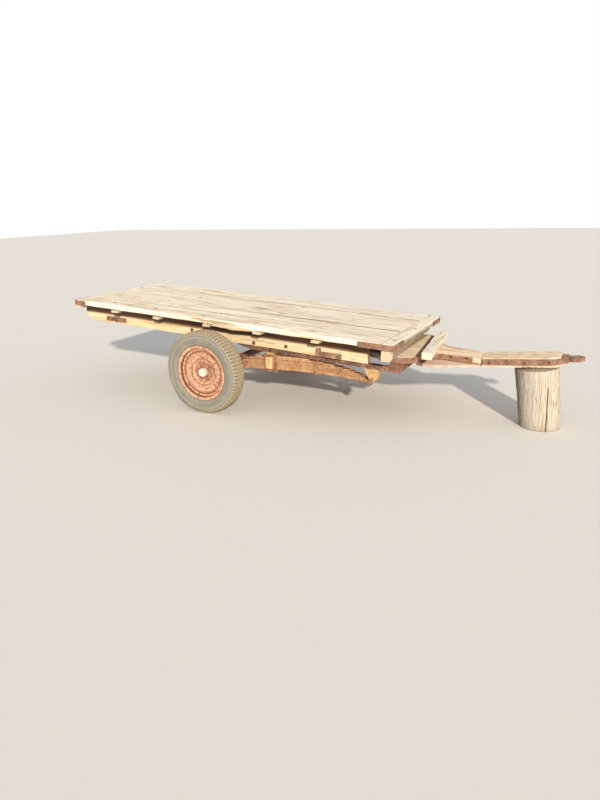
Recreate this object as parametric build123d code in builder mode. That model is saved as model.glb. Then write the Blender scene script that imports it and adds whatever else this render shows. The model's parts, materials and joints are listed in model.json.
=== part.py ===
from build123d import *
from math import atan2, cos, degrees, hypot, radians, sin, sqrt
import os

os.makedirs("parts", exist_ok=True)

# Flat hay wagon on one axle, parked with its drawbar on a log.
# Millimetres. +X points forward along the drawbar, +Y to the wagon's left, +Z up.
# Each piece is drawn with x measured from the axle, and is written with x
# measured from the middle of the whole wagon's length, on the floor.
# The deck slopes down to the front, so the bodywork has a frame of its own.
middle_ahead_of_axle = 588.4

# Deck
deck_length = 2978
deck_width = 1200
deck_behind_axle = 1484
deck_height = 718
deck_pitch = 3.5
board_thickness = 48
board_gap = 4
board_shares = (0.19, 0.18, 0.2, 0.2, 0.23)
board_rounding = 3
header_width = 95
corner_radius = 35

# Battens and bolster under the boards
batten_thickness = 28
batten_width = 65
batten_rounding = 4
batten_places = (-1025, -572, -72, 398, 896)
rear_batten_inset = 45
bolster_width = 70
bolster_depth = 82
bolster_front_to_axle = 1446
bolster_skew = 3.1
bolster_rounding = 5

# Side rails
rail_inner_face = 400
rail_thickness = 70
rail_depth = 129
rail_front_to_axle = 1272
rail_rear_slope_length = 70
rail_rear_slope_height = 40
rail_front_wear = 16
rail_rounding = 5

# Steel underframe
member_width = 45
member_depth = 35
member_wall = 5
member_rear_to_axle = 120
member_rise_length = 190
cross_width = 106
cross_depth = 68
cross_wall = 6
cross_overhang = 40
cross_cut = 32
cross_to_axle = 1398
middle_cross_width = 60
middle_cross_depth = 58
middle_cross_to_axle = 965

# Drawbar timbers, tongue and irons
timber_thickness = 45
timber_rear_to_axle = 950
timber_rear_half_width = 300
timber_half_width = 385
timber_wing_half_width = 430
timber_wing_start = 1315
timber_wing_slant = 20
timber_wing_end = 1425
timber_neck_start = 1775
timber_neck_half_width = 118
timber_front_half_width = 104
timber_joint_gap = 2
under_plank_thickness = 25
under_plank_start = 1580
under_plank_half_width = 315
under_plank_full_length = 130
tongue_start = 2003
tongue_length = 530
tongue_half_width = 115
tongue_depth = 76
tongue_rise = 4.8
tongue_step = 10
tongue_nose_radius = 70
tail_half_width = 45
tail_length = 385
strap_thickness = 6
leg_strap_height = 40
leg_strap_start = 1425
leg_strap_end = 1940
nose_strap_height = 42
nose_strap_thickness = 8
nose_strap_top = 12
nose_strap_start = 12
lug_half_gap = 46
lug_thickness = 9
lug_length = 40
lug_root = 3
lug_rounding = 14
footboard_length = 780
footboard_width = 80
footboard_thickness = 55
footboard_to_axle = 1627
footboard_skew = 6.8
footboard_rounding = 5

# Towing eye
eye_radius = 58
eye_middle = 617
eye_hole_radius = 20
eye_hole_offset = 14
eye_thickness = 26
eye_rounding = 6
eye_neck_half_width = 45.5
eye_neck_thickness = 24
shank_radius = 15
shank_depth = 95
shank_clearance = 0.3

# Irons on the deck corners and the rails
corner_iron_height = 41
corner_iron_thickness = 5
corner_iron_drop = 6
front_iron_side_length = 262
front_iron_end_length = 235
rear_iron_side_length = 136
rear_iron_end_length = 110
rail_iron_thickness = 6
rail_iron_height = 38
rear_plate_to_axle = -1120
rear_plate_drop = 160
rear_plate_length = 222
front_plate_to_axle = 955
front_plate_drop = 180
front_plate_length = 212

# Axle and wheels
axle_height = 327.5
axle_radius = 30
track = 1472
shoulder_gap = 2
spindle_radius = 20
spindle_clearance = 0.1
spindle_past_centre = 40
tyre_radius = 327.5
tyre_width = 152
tread_width = 120
tyre_wall = 11
tread_crown = 6
shoulder_drop = 16
shoulder_out = 7
rim_seat_radius = 198
rim_flange_height = 18
rim_well_depth = 24
rim_width = 130
rim_wall = 4
rim_rounding = 1.8
rim_well_half_width = 20
rim_well_slope = 10
bead_to_flange = 2
bead_clearance = 0.3
disc_wall = 5
disc_rim = 38
disc_face = 22
disc_crown = 44
disc_centre_radius = 84
disc_crown_radius = 135
disc_hole_radius = 6
disc_hole_to_seat = 44
disc_hole_count = 6
disc_hole_turn = 34
hub_flange_radius = 76
hub_flange_thickness = 12
hub_barrel_radius = 38
hub_barrel_length = 86
stud_circle_radius = 62
stud_radius = 6
stud_length = 16
nut_radius = 11.5
nut_height = 12
stud_count = 5
cap_radius = 31
cap_height = 30
cap_skirt = 6
spindle_end_gap = 1

# Cantilever leaf springs
leaf_count = 12
leaf_thickness = 9
leaf_width = 50
leaf_edge_step = 1.5
spring_crown_x = 680
spring_crown_height = 319
spring_radius = 6300
spring_pivot_x = 430
spring_front_x = 1250
master_rear_x = -45
second_leaf_rear_x = 75
spring_eye_radius = 19
spring_pin_radius = 8
pin_clearance = 0.1
clamp_length = 130
clamp_plate = 10
clamp_plate_rim = 5
clamp_plate_rounding = 6
saddle_length = 72
u_bolt_radius = 6
u_bolt_spacing = 96
u_bolt_side_gap = 1.5
u_bolt_seat = 1.5
nut_size = 10
nut_half_width = 10
thread_proud = 4
clip_length = 26
clip_wall = 5
axle_clamp_length = 96
axle_seat_clearance = 0.3

# Spring hangers
hanger_length = 120
hanger_foot_length = 66
hanger_depth = 84
hanger_flange = 10
hanger_to_axle = 1300
shackle_thickness = 7
shackle_half_width = 15
pin_proud = 4
side_clearance = 0.3
plate_clearance = 0.5

# Log under the drawbar
log_radius = 152
log_base_radius = 144
log_to_axle = 2420
log_lean = 60
log_to_left = -60


def pitched(angle, origin):
    """Plane turned about Y, nose down for a positive angle."""
    turn = radians(angle)
    return Plane(
        origin=origin,
        x_dir=(cos(turn), 0, -sin(turn)),
        z_dir=(sin(turn), 0, cos(turn)),
    )


deck = pitched(deck_pitch, (0, 0, deck_height))


def upright(base, y, along=0, up=0):
    """Lengthwise vertical plane of a frame, facing right, with local x forward."""
    origin = base.from_local_coords(Vector(along, y, up))
    return Plane(origin=origin, x_dir=base.x_dir, z_dir=(0, -1, 0))


def crosswise(base, along):
    """Plane square to a frame's length, facing forward, with local x to the left."""
    origin = base.from_local_coords(Vector(along, 0, 0))
    return Plane(origin=origin, x_dir=(0, 1, 0), z_dir=base.x_dir)


def level(base, up):
    """Plane parallel to a frame's floor."""
    return base.offset(up)


def save(piece, name):
    """Move a finished piece to the wagon's middle, label it and write it."""
    finished = piece.part.moved(Location((-middle_ahead_of_axle, 0, 0)))
    finished.label = name
    export_step(finished, f"parts/{name}.step")


def save_pair(piece, name):
    """Write the left-hand piece and its mirror image."""
    with BuildPart() as other:
        mirror(piece.part, about=Plane.XZ)
    save(piece, f"{name}_left")
    save(other, f"{name}_right")


def save_shifted(piece, name, shift):
    """Write a piece alike on both its sides, and its copy on the wagon's right."""
    with BuildPart() as other:
        add(piece.part.moved(Location((0, -shift, 0))))
    save(piece, f"{name}_left")
    save(other, f"{name}_right")


def save_turned(piece, name):
    """Write a left-hand wheel piece and its copy, turned to face right."""
    with BuildPart() as other:
        add(piece.part.rotate(Axis.Z, 180))
    save(piece, f"{name}_left")
    save(other, f"{name}_right")


# Deck boards, five wide planks between two header boards
deck_rear = -deck_behind_axle
deck_front = deck_rear + deck_length
board_length = deck_length - 2 * (header_width + board_gap)
plank_total = deck_width - (len(board_shares) - 1) * board_gap
board_edge = -deck_width / 2
for number, share in enumerate(board_shares, start=1):
    board_width = share * plank_total
    with BuildPart() as board:
        with BuildSketch(crosswise(deck, deck_rear + header_width + board_gap)):
            with Locations((board_edge + board_width / 2, -board_thickness / 2)):
                RectangleRounded(board_width, board_thickness, board_rounding)
        extrude(amount=board_length)
    save(board, f"deck_board_{number}")
    board_edge += board_width + board_gap

# Header boards across both ends, their outer corners rounded
deck_middle = (deck_rear + deck_front) / 2
with BuildSketch() as deck_plan:
    with Locations((deck_middle, 0)):
        RectangleRounded(deck_length, deck_width, corner_radius)
for end, middle in (
    ("rear", deck_rear + header_width / 2),
    ("front", deck_front - header_width / 2),
):
    with BuildPart() as header:
        with BuildSketch(upright(deck, deck_width / 2)):
            with Locations((middle, -board_thickness / 2)):
                RectangleRounded(header_width, board_thickness, board_rounding)
        extrude(amount=deck_width)
        with BuildSketch(level(deck, -board_thickness)):
            add(deck_plan.sketch)
        extrude(amount=board_thickness, mode=Mode.INTERSECT)
    save(header, f"deck_header_{end}")

# Battens that carry the boards, ends flush with the deck's edges
batten_middle = -board_thickness - batten_thickness / 2
with BuildPart() as battens:
    with BuildSketch(upright(deck, deck_width / 2)):
        for place in (deck_rear + rear_batten_inset, *batten_places):
            with Locations((place, batten_middle)):
                RectangleRounded(batten_width, batten_thickness, batten_rounding)
    extrude(amount=deck_width)
save(battens, "deck_battens")

# Front bolster, a squared timber set a little askew between the boards and the drawbar
bolster_bottom = -board_thickness - bolster_depth
with BuildPart() as bolster:
    with BuildSketch(level(deck, bolster_bottom)):
        with Locations(Location((bolster_front_to_axle, 0, 0), (0, 0, 1), bolster_skew)):
            Rectangle(bolster_width, 2 * deck_width, align=(Align.MAX, Align.CENTER))
        with Locations((deck_front, 0)):
            Rectangle(deck_length, deck_width, mode=Mode.INTERSECT)
    extrude(amount=bolster_depth)
    fillet(bolster.edges().filter_by(lambda edge: edge.length > deck_width), bolster_rounding)
save(bolster, "front_bolster")

# Side rails under the battens, their rear ends cut away below
rail_top = -board_thickness - batten_thickness
rail_bottom = rail_top - rail_depth
with BuildPart() as rail:
    with BuildSketch(upright(deck, rail_inner_face + rail_thickness)):
        with BuildLine():
            FilletPolyline(
                (deck_rear, rail_top),
                (rail_front_to_axle - rail_front_wear, rail_top),
                (rail_front_to_axle, rail_bottom),
                (deck_rear + rail_rear_slope_length, rail_bottom),
                (deck_rear, rail_bottom + rail_rear_slope_height),
                radius=rail_rounding,
                close=True,
            )
        make_face()
    extrude(amount=rail_thickness)
save_pair(rail, "side_rail")

# Channel members under the rails, open outwards, curving up behind the spring
member_outer = rail_inner_face + member_width
member_bottom = rail_bottom - member_depth
cross_front = cross_to_axle + cross_width
with BuildPart() as member:
    with BuildSketch(upright(deck, member_outer)) as member_side:
        with BuildLine():
            Line((member_rear_to_axle, rail_bottom), (cross_to_axle, rail_bottom))
            Line((cross_to_axle, rail_bottom), (cross_to_axle, member_bottom))
            Line(
                (cross_to_axle, member_bottom),
                (member_rear_to_axle + member_rise_length, member_bottom),
            )
            TangentArc(
                (member_rear_to_axle + member_rise_length, member_bottom),
                (member_rear_to_axle, rail_bottom),
                tangent=(-1, 0),
            )
        make_face()
    extrude(amount=member_width)
    with BuildSketch(upright(deck, member_outer)):
        offset(member_side.sketch, amount=-member_wall)
    extrude(amount=member_width - member_wall, mode=Mode.SUBTRACT)
save_pair(member, "chassis_member")

# Front cross member, folded plate open below, closed by a plate at each end
timber_top = bolster_bottom
timber_bottom = timber_top - timber_thickness
cross_half = rail_inner_face + cross_overhang
cross_bottom = timber_bottom - cross_depth
with BuildPart() as cross:
    with BuildSketch(upright(deck, cross_half)) as cross_side:
        with BuildLine():
            Polyline(
                (cross_to_axle, cross_bottom),
                (cross_to_axle, timber_bottom - cross_cut),
                (cross_to_axle + cross_cut, timber_bottom),
                (cross_front, timber_bottom),
                (cross_front, cross_bottom),
                close=True,
            )
        make_face()
    extrude(amount=2 * cross_half)
    with BuildSketch(upright(deck, cross_half - cross_wall)):
        with Locations((0, -cross_wall)):
            add(cross_side.sketch)
        offset(amount=-cross_wall)
    extrude(amount=2 * (cross_half - cross_wall), mode=Mode.SUBTRACT)
save(cross, "chassis_cross_front")

# Middle cross member, a channel between the side members, under the timbers' ends
with BuildPart() as middle_cross:
    with BuildSketch(upright(deck, rail_inner_face)):
        with Locations((middle_cross_to_axle, timber_bottom - middle_cross_depth / 2)):
            Rectangle(middle_cross_width, middle_cross_depth)
        with Locations(
            (middle_cross_to_axle, timber_bottom - (middle_cross_depth + cross_wall) / 2)
        ):
            Rectangle(
                middle_cross_width - 2 * cross_wall,
                middle_cross_depth - cross_wall,
                mode=Mode.SUBTRACT,
            )
    extrude(amount=2 * rail_inner_face)
save(middle_cross, "chassis_cross_middle")

# Drawbar timbers, broad under the bolster and swept in to the narrow neck
tail_start = tongue_start - tail_length
sweep_middle = (timber_wing_end + timber_neck_start) / 2
sweep_half_width = (timber_wing_half_width + timber_neck_half_width) / 2


def timber_outline(inner, notch):
    """Plan of the left timber, its inner edge cut back where the tongue's tail runs."""
    with BuildLine() as outline:
        Polyline(
            (tongue_start, notch),
            (tail_start, notch),
            (tail_start, inner),
            (timber_rear_to_axle, inner),
            (timber_rear_to_axle, timber_rear_half_width),
            (timber_wing_start, timber_half_width),
            (timber_wing_start + timber_wing_slant, timber_wing_half_width),
            (timber_wing_end, timber_wing_half_width),
        )
        wing = TangentArc(
            (timber_wing_end, timber_wing_half_width),
            (sweep_middle, sweep_half_width),
            tangent=(1, 0),
        )
        TangentArc(
            (sweep_middle, sweep_half_width),
            (timber_neck_start, timber_neck_half_width),
            tangent=wing % 1,
        )
        Polyline(
            (timber_neck_start, timber_neck_half_width),
            (tongue_start, timber_front_half_width),
            (tongue_start, notch),
        )
    return outline


half_gap = timber_joint_gap / 2
timber_plan = timber_outline(half_gap, tail_half_width + half_gap)
with BuildPart() as timber:
    with BuildSketch(level(deck, timber_bottom)):
        add(timber_plan.line)
        make_face()
    extrude(amount=timber_thickness)
save_pair(timber, "drawbar_timber")

# Iron straps bent round the swept sides of the timbers
strap_bottom = timber_bottom + (timber_thickness - leg_strap_height) / 2
with BuildPart() as leg_strap:
    with BuildSketch(level(deck, strap_bottom)):
        add(timber_plan.line)
        make_face()
        offset(amount=strap_thickness, kind=Kind.INTERSECTION)
        with Locations(((leg_strap_start + leg_strap_end) / 2, deck_width / 2)):
            Rectangle(
                leg_strap_end - leg_strap_start, deck_width, mode=Mode.INTERSECT
            )
        with BuildLine():
            add(timber_plan.line)
        make_face(mode=Mode.SUBTRACT)
        with Locations((leg_strap_end, 0)):
            Rectangle(
                4 * leg_strap_end,
                2 * (tail_half_width + half_gap + strap_thickness / 2),
                mode=Mode.SUBTRACT,
            )
    extrude(amount=leg_strap_height)
save_pair(leg_strap, "drawbar_strap")

# Tapered plank under the neck, flush with the tongue's underside
under_plank_end = under_plank_start + under_plank_full_length
with BuildPart() as under_plank:
    with BuildSketch(level(deck, timber_bottom - under_plank_thickness)):
        with BuildLine():
            Polyline(
                (under_plank_start, -under_plank_half_width),
                (under_plank_end, -under_plank_half_width),
                (tongue_start, -tongue_half_width),
                (tongue_start, tongue_half_width),
                (under_plank_end, under_plank_half_width),
                (under_plank_start, under_plank_half_width),
                close=True,
            )
        make_face()
    extrude(amount=under_plank_thickness)
save(under_plank, "drawbar_under_plank")

# Tongue, a nose block that rises forward, with a tail between the timbers
tongue = pitched(
    -tongue_rise, deck.from_local_coords(Vector(tongue_start, 0, timber_top + tongue_step))
)
shank_up = -nose_strap_top - nose_strap_height / 2
with BuildSketch() as tongue_plan:
    with Locations((tongue_length / 2, 0)):
        Rectangle(tongue_length, 2 * tongue_half_width)
    fillet(vertices().group_by(Axis.X)[-1], radius=tongue_nose_radius)
with BuildPart() as tongue_block:
    with BuildSketch(level(tongue, -tongue_depth)):
        add(tongue_plan.sketch)
    extrude(amount=tongue_depth)
    with BuildSketch(level(deck, timber_bottom)):
        with Locations((tongue_start - tail_length / 2 + tail_half_width / 2, 0)):
            Rectangle(tail_length + tail_half_width, 2 * tail_half_width)
    extrude(amount=timber_thickness)
    with BuildSketch(crosswise(tongue, tongue_length)):
        with Locations((0, shank_up)):
            Circle(shank_radius + shank_clearance)
    extrude(amount=-shank_depth - shank_clearance, mode=Mode.SUBTRACT)
save(tongue_block, "drawbar_tongue")

# Flat iron round the tongue's nose and along both its sides, with two lugs for the eye
nose_face = tongue_length + nose_strap_thickness
with BuildPart() as nose_strap:
    with BuildSketch(level(tongue, -nose_strap_top - nose_strap_height)):
        add(tongue_plan.sketch)
        offset(amount=nose_strap_thickness)
        with Locations((nose_strap_start, 0)):
            Rectangle(
                tongue_length,
                4 * tongue_half_width,
                align=(Align.MIN, Align.CENTER),
                mode=Mode.INTERSECT,
            )
        add(tongue_plan.sketch, mode=Mode.SUBTRACT)
    extrude(amount=nose_strap_height)
    with BuildSketch(crosswise(tongue, tongue_length)):
        with Locations((0, shank_up)):
            Circle(shank_radius + shank_clearance)
    extrude(amount=nose_strap_thickness, mode=Mode.SUBTRACT)
    for lug_side in (-lug_half_gap, lug_half_gap + lug_thickness):
        with BuildSketch(upright(tongue, lug_side)):
            with Locations((nose_face - lug_root, shank_up)):
                Rectangle(
                    lug_root + lug_length,
                    nose_strap_height,
                    align=(Align.MIN, Align.CENTER),
                )
            fillet(vertices().group_by(Axis.X)[-1], radius=lug_rounding)
        extrude(amount=lug_thickness)
save(nose_strap, "drawbar_nose_iron")

# Footboard, a loose-cut plank nailed askew across the timbers
with BuildPart() as footboard:
    with BuildSketch(level(deck, timber_top)):
        with Locations(Location((footboard_to_axle, 0, 0), (0, 0, 1), footboard_skew)):
            RectangleRounded(footboard_width, footboard_length, footboard_rounding)
    extrude(amount=footboard_thickness)
save(footboard, "footboard")

# Towing eye, a flat forging with a rounded edge, on a shank let into the tongue's nose
with BuildPart() as towing_eye:
    with BuildSketch(upright(tongue, 0)) as eye_edge:
        with Locations((eye_middle, shank_up)):
            Rectangle(eye_radius, eye_thickness, align=(Align.MIN, Align.CENTER))
        fillet(vertices().group_by(Axis.X)[-1], radius=eye_rounding)
    revolve(axis=Axis(tongue.from_local_coords(Vector(eye_middle, 0, 0)), tongue.z_dir))
    with BuildSketch(level(tongue, shank_up - eye_neck_thickness / 2)):
        with Locations((nose_face, 0)):
            Rectangle(
                eye_middle - nose_face,
                2 * eye_neck_half_width,
                align=(Align.MIN, Align.CENTER),
            )
    extrude(amount=eye_neck_thickness)
    with BuildSketch(level(tongue, shank_up - eye_thickness)):
        with Locations((eye_middle + eye_hole_offset, 0)):
            Circle(eye_hole_radius)
    extrude(amount=2 * eye_thickness, mode=Mode.SUBTRACT)
    with BuildSketch(crosswise(tongue, tongue_length - shank_depth)):
        with Locations((0, shank_up)):
            Circle(shank_radius)
    extrude(amount=shank_depth + nose_strap_thickness)
save(towing_eye, "towing_eye")

# Flat irons bent round the four deck corners
iron_level = -corner_iron_drop - corner_iron_height
iron_outside = deck_width / 2 + corner_iron_thickness
with BuildPart() as corner_irons:
    with BuildSketch(level(deck, iron_level)):
        add(deck_plan.sketch)
        offset(amount=corner_iron_thickness)
        add(deck_plan.sketch, mode=Mode.SUBTRACT)
        with BuildSketch(mode=Mode.INTERSECT):
            for corner_x, inward, side_length, end_length in (
                (deck_front, -1, front_iron_side_length, front_iron_end_length),
                (deck_rear, 1, rear_iron_side_length, rear_iron_end_length),
            ):
                middle_x = corner_x + inward * (side_length - corner_iron_thickness) / 2
                for hand in (-1, 1):
                    with Locations((middle_x, hand * (iron_outside - end_length / 2))):
                        Rectangle(side_length + corner_iron_thickness, end_length)
    extrude(amount=corner_iron_height)
save(corner_irons, "corner_irons")

# Irons on the rails: hook plates behind the wheels, plain plates ahead of them
rail_outer = rail_inner_face + rail_thickness
with BuildPart() as rail_irons:
    for hand in (-1, 1):
        start = rail_outer + rail_iron_thickness if hand > 0 else -rail_outer
        with BuildSketch(upright(deck, start)):
            for middle, plate_drop, plate_length in (
                (rear_plate_to_axle, rear_plate_drop, rear_plate_length),
                (front_plate_to_axle, front_plate_drop, front_plate_length),
            ):
                with Locations((middle, -plate_drop)):
                    Rectangle(plate_length, rail_iron_height)
        extrude(amount=rail_iron_thickness)
save(rail_irons, "rail_irons")

# Axle, a tube with a turned spindle at each end
wheel_centre = track / 2
shoulder = wheel_centre + disc_face - disc_wall - hub_barrel_length - shoulder_gap
spindle_end = wheel_centre + spindle_past_centre
with BuildPart() as axle:
    with BuildSketch(Plane.XY.offset(axle_height)):
        with BuildLine():
            Polyline(
                (0, -spindle_end),
                (spindle_radius, -spindle_end),
                (spindle_radius, -shoulder),
                (axle_radius, -shoulder),
                (axle_radius, shoulder),
                (spindle_radius, shoulder),
                (spindle_radius, spindle_end),
                (0, spindle_end),
                close=True,
            )
        make_face()
    revolve(axis=Axis((0, 0, axle_height), (0, 1, 0)))
save(axle, "axle")

# Wheels: each profile is drawn across the wheel, local x outwards, y up the radius
wheel_axis = Axis((0, wheel_centre, axle_height), (0, 1, 0))
wheel_section = Plane(origin=(0, wheel_centre, axle_height), x_dir=(0, 1, 0), z_dir=(1, 0, 0))
half_rim = rim_width / 2
flange_radius = rim_seat_radius + rim_flange_height
well_radius = rim_seat_radius - rim_well_depth
half_tyre = tyre_width / 2
half_tread = tread_width / 2
shoulder_edge = half_tread + shoulder_out
seat_outside = half_rim - rim_wall - bead_to_flange
well_foot = rim_well_half_width + rim_well_slope
bead_inside = seat_outside - tyre_wall - bead_clearance
with BuildPart() as rim:
    with BuildSketch(wheel_section):
        with BuildLine():
            FilletPolyline(
                (-half_rim, flange_radius),
                (-half_rim, rim_seat_radius - rim_wall),
                (-well_foot, rim_seat_radius - rim_wall),
                (-rim_well_half_width, well_radius - rim_wall),
                (rim_well_half_width, well_radius - rim_wall),
                (well_foot, rim_seat_radius - rim_wall),
                (half_rim, rim_seat_radius - rim_wall),
                (half_rim, flange_radius),
                (half_rim - rim_wall, flange_radius),
                (half_rim - rim_wall, rim_seat_radius),
                (well_foot - rim_wall, rim_seat_radius),
                (rim_well_half_width - rim_wall, well_radius),
                (-rim_well_half_width + rim_wall, well_radius),
                (-well_foot + rim_wall, rim_seat_radius),
                (-half_rim + rim_wall, rim_seat_radius),
                (-half_rim + rim_wall, flange_radius),
                radius=rim_rounding,
                close=True,
            )
        make_face()
    revolve(axis=wheel_axis)
    with BuildSketch(wheel_section):
        with BuildLine():
            Polyline(
                (disc_face, hub_barrel_radius),
                (disc_face, disc_centre_radius),
            )
            ThreePointArc(
                (disc_face, disc_centre_radius),
                (disc_crown, disc_crown_radius),
                (disc_rim, rim_seat_radius - rim_wall / 2),
            )
            Line(
                (disc_rim, rim_seat_radius - rim_wall / 2),
                (disc_rim - disc_wall, rim_seat_radius - rim_wall / 2),
            )
            ThreePointArc(
                (disc_rim - disc_wall, rim_seat_radius - rim_wall / 2),
                (disc_crown - disc_wall, disc_crown_radius),
                (disc_face - disc_wall, disc_centre_radius),
            )
            Polyline(
                (disc_face - disc_wall, disc_centre_radius),
                (disc_face - disc_wall, hub_barrel_radius),
                (disc_face, hub_barrel_radius),
            )
        make_face()
    revolve(axis=wheel_axis)
    wheel_face = Plane(
        origin=(0, wheel_centre, axle_height), x_dir=(1, 0, 0), z_dir=(0, 1, 0)
    )
    with BuildSketch(wheel_face):
        with PolarLocations(
            rim_seat_radius - disc_hole_to_seat, disc_hole_count, start_angle=disc_hole_turn
        ):
            Circle(disc_hole_radius)
        with PolarLocations(stud_circle_radius, stud_count, start_angle=90):
            Circle(stud_radius + shank_clearance)
    extrude(amount=half_rim, mode=Mode.SUBTRACT)
save_turned(rim, "wheel_rim")

# Tyre, a hollow carcass seated on the rim
with BuildPart() as tyre:
    with BuildSketch(wheel_section):
        with BuildLine():
            seat = rim_seat_radius + bead_clearance
            Line((-seat_outside, seat), (-bead_inside, seat))
            ThreePointArc(
                (-bead_inside, seat),
                (-half_tyre + tyre_wall, (seat + tyre_radius) / 2),
                (-half_tread + tyre_wall, tyre_radius - tyre_wall - tread_crown),
            )
            ThreePointArc(
                (-half_tread + tyre_wall, tyre_radius - tyre_wall - tread_crown),
                (0, tyre_radius - tyre_wall),
                (half_tread - tyre_wall, tyre_radius - tyre_wall - tread_crown),
            )
            ThreePointArc(
                (half_tread - tyre_wall, tyre_radius - tyre_wall - tread_crown),
                (half_tyre - tyre_wall, (seat + tyre_radius) / 2),
                (bead_inside, seat),
            )
            Line((bead_inside, seat), (seat_outside, seat))
            Line((seat_outside, seat), (seat_outside, flange_radius))
            ThreePointArc(
                (seat_outside, flange_radius),
                (half_tyre, (seat + tyre_radius) / 2),
                (shoulder_edge, tyre_radius - tread_crown - shoulder_drop),
            )
            Line(
                (shoulder_edge, tyre_radius - tread_crown - shoulder_drop),
                (half_tread, tyre_radius - tread_crown),
            )
            ThreePointArc(
                (half_tread, tyre_radius - tread_crown),
                (0, tyre_radius),
                (-half_tread, tyre_radius - tread_crown),
            )
            Line(
                (-half_tread, tyre_radius - tread_crown),
                (-shoulder_edge, tyre_radius - tread_crown - shoulder_drop),
            )
            ThreePointArc(
                (-shoulder_edge, tyre_radius - tread_crown - shoulder_drop),
                (-half_tyre, (seat + tyre_radius) / 2),
                (-seat_outside, flange_radius),
            )
            Line((-seat_outside, flange_radius), (-seat_outside, seat))
        make_face()
    revolve(axis=wheel_axis)
save_turned(tyre, "tyre")

# Hub on the spindle, with a bolting flange, wheel nuts and a domed cap
flange_outside = disc_face - disc_wall
dome_rise = cap_height - cap_skirt
dome_radius = (cap_radius**2 + dome_rise**2) / (2 * dome_rise)
with BuildPart() as hub:
    with BuildSketch(wheel_section):
        with BuildLine():
            bore = spindle_radius + spindle_clearance
            Polyline(
                (disc_face + cap_height, 0),
                (spindle_past_centre + spindle_end_gap, 0),
                (spindle_past_centre + spindle_end_gap, bore),
                (flange_outside - hub_barrel_length, bore),
                (flange_outside - hub_barrel_length, hub_barrel_radius),
                (flange_outside - hub_flange_thickness, hub_barrel_radius),
                (flange_outside - hub_flange_thickness, hub_flange_radius),
                (flange_outside, hub_flange_radius),
                (flange_outside, cap_radius),
                (disc_face + cap_skirt, cap_radius),
            )
            RadiusArc(
                (disc_face + cap_skirt, cap_radius),
                (disc_face + cap_height, 0),
                dome_radius,
            )
        make_face()
    revolve(axis=wheel_axis)
    with BuildSketch(wheel_face.offset(flange_outside - hub_flange_thickness)):
        with PolarLocations(stud_circle_radius, stud_count, start_angle=90):
            Circle(stud_radius)
    extrude(amount=hub_flange_thickness + disc_wall + stud_length)
    with BuildSketch(wheel_face.offset(disc_face)):
        with PolarLocations(stud_circle_radius, stud_count, start_angle=90):
            RegularPolygon(nut_radius, 6)
    extrude(amount=nut_height)
save_turned(hub, "wheel_hub")

# Cantilever springs, leaves stacked above the long master leaf
spring_middle = rail_inner_face + member_width / 2
arc_height = spring_crown_height - spring_radius


def leaf_point(x, layer):
    """Point of the spring's side view on the underside of a layer, counted from 0."""
    radius = spring_radius + layer * leaf_thickness
    return (x, arc_height + sqrt(radius**2 - (x - spring_crown_x) ** 2))


def leaf_frame(x):
    """Frame on the master leaf's underside, local x along it, z up through the stack."""
    turn = atan2(spring_crown_x - x, leaf_point(x, 0)[1] - arc_height)
    along, up = leaf_point(x, 0)
    return pitched(-degrees(turn), (along, 0, up))


leaf_ends = [(master_rear_x, spring_front_x)]
for layer in range(1, leaf_count):
    share = sqrt(1 - (layer / leaf_count) ** 2)
    leaf_ends.append(
        (
            spring_pivot_x - (spring_pivot_x - second_leaf_rear_x) * share,
            spring_pivot_x + (spring_front_x - spring_pivot_x) * share,
        )
    )

front_frame = leaf_frame(spring_front_x)
eye_up = leaf_thickness - spring_eye_radius
with BuildPart() as spring:
    for layer, (rear_x, front_x) in enumerate(leaf_ends):
        width = leaf_width - 2 * leaf_edge_step * (layer % 2)
        centre_x = (rear_x + front_x) / 2
        with BuildSketch(Plane.XZ.offset(-spring_middle - width / 2)):
            with BuildLine():
                ThreePointArc(
                    leaf_point(rear_x, layer),
                    leaf_point(centre_x, layer),
                    leaf_point(front_x, layer),
                )
                Line(leaf_point(front_x, layer), leaf_point(front_x, layer + 1))
                ThreePointArc(
                    leaf_point(front_x, layer + 1),
                    leaf_point(centre_x, layer + 1),
                    leaf_point(rear_x, layer + 1),
                )
                Line(leaf_point(rear_x, layer + 1), leaf_point(rear_x, layer))
            make_face()
        extrude(amount=width)
    with BuildSketch(upright(front_frame, spring_middle + leaf_width / 2)):
        with Locations((0, eye_up)):
            Circle(spring_eye_radius)
    extrude(amount=leaf_width)
    with BuildSketch(upright(front_frame, spring_middle + leaf_width / 2)):
        with Locations((0, eye_up)):
            Circle(spring_pin_radius + pin_clearance)
    extrude(amount=leaf_width, mode=Mode.SUBTRACT)
save_shifted(spring, "leaf_spring", 2 * spring_middle)

# Saddle between the side member and the spring's clamp
pivot_frame = leaf_frame(spring_pivot_x)
stack_height = leaf_count * leaf_thickness
plate_up = stack_height + plate_clearance
member_underside = level(deck, member_bottom)
with BuildPart() as saddle:
    with BuildSketch(upright(pivot_frame, spring_middle + member_width / 2)):
        with Locations((0, plate_up + clamp_plate)):
            Rectangle(saddle_length, stack_height, align=(Align.CENTER, Align.MIN))
    extrude(amount=member_width)
    split(bisect_by=member_underside, keep=Keep.BOTTOM)
save_pair(saddle, "spring_saddle")

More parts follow.
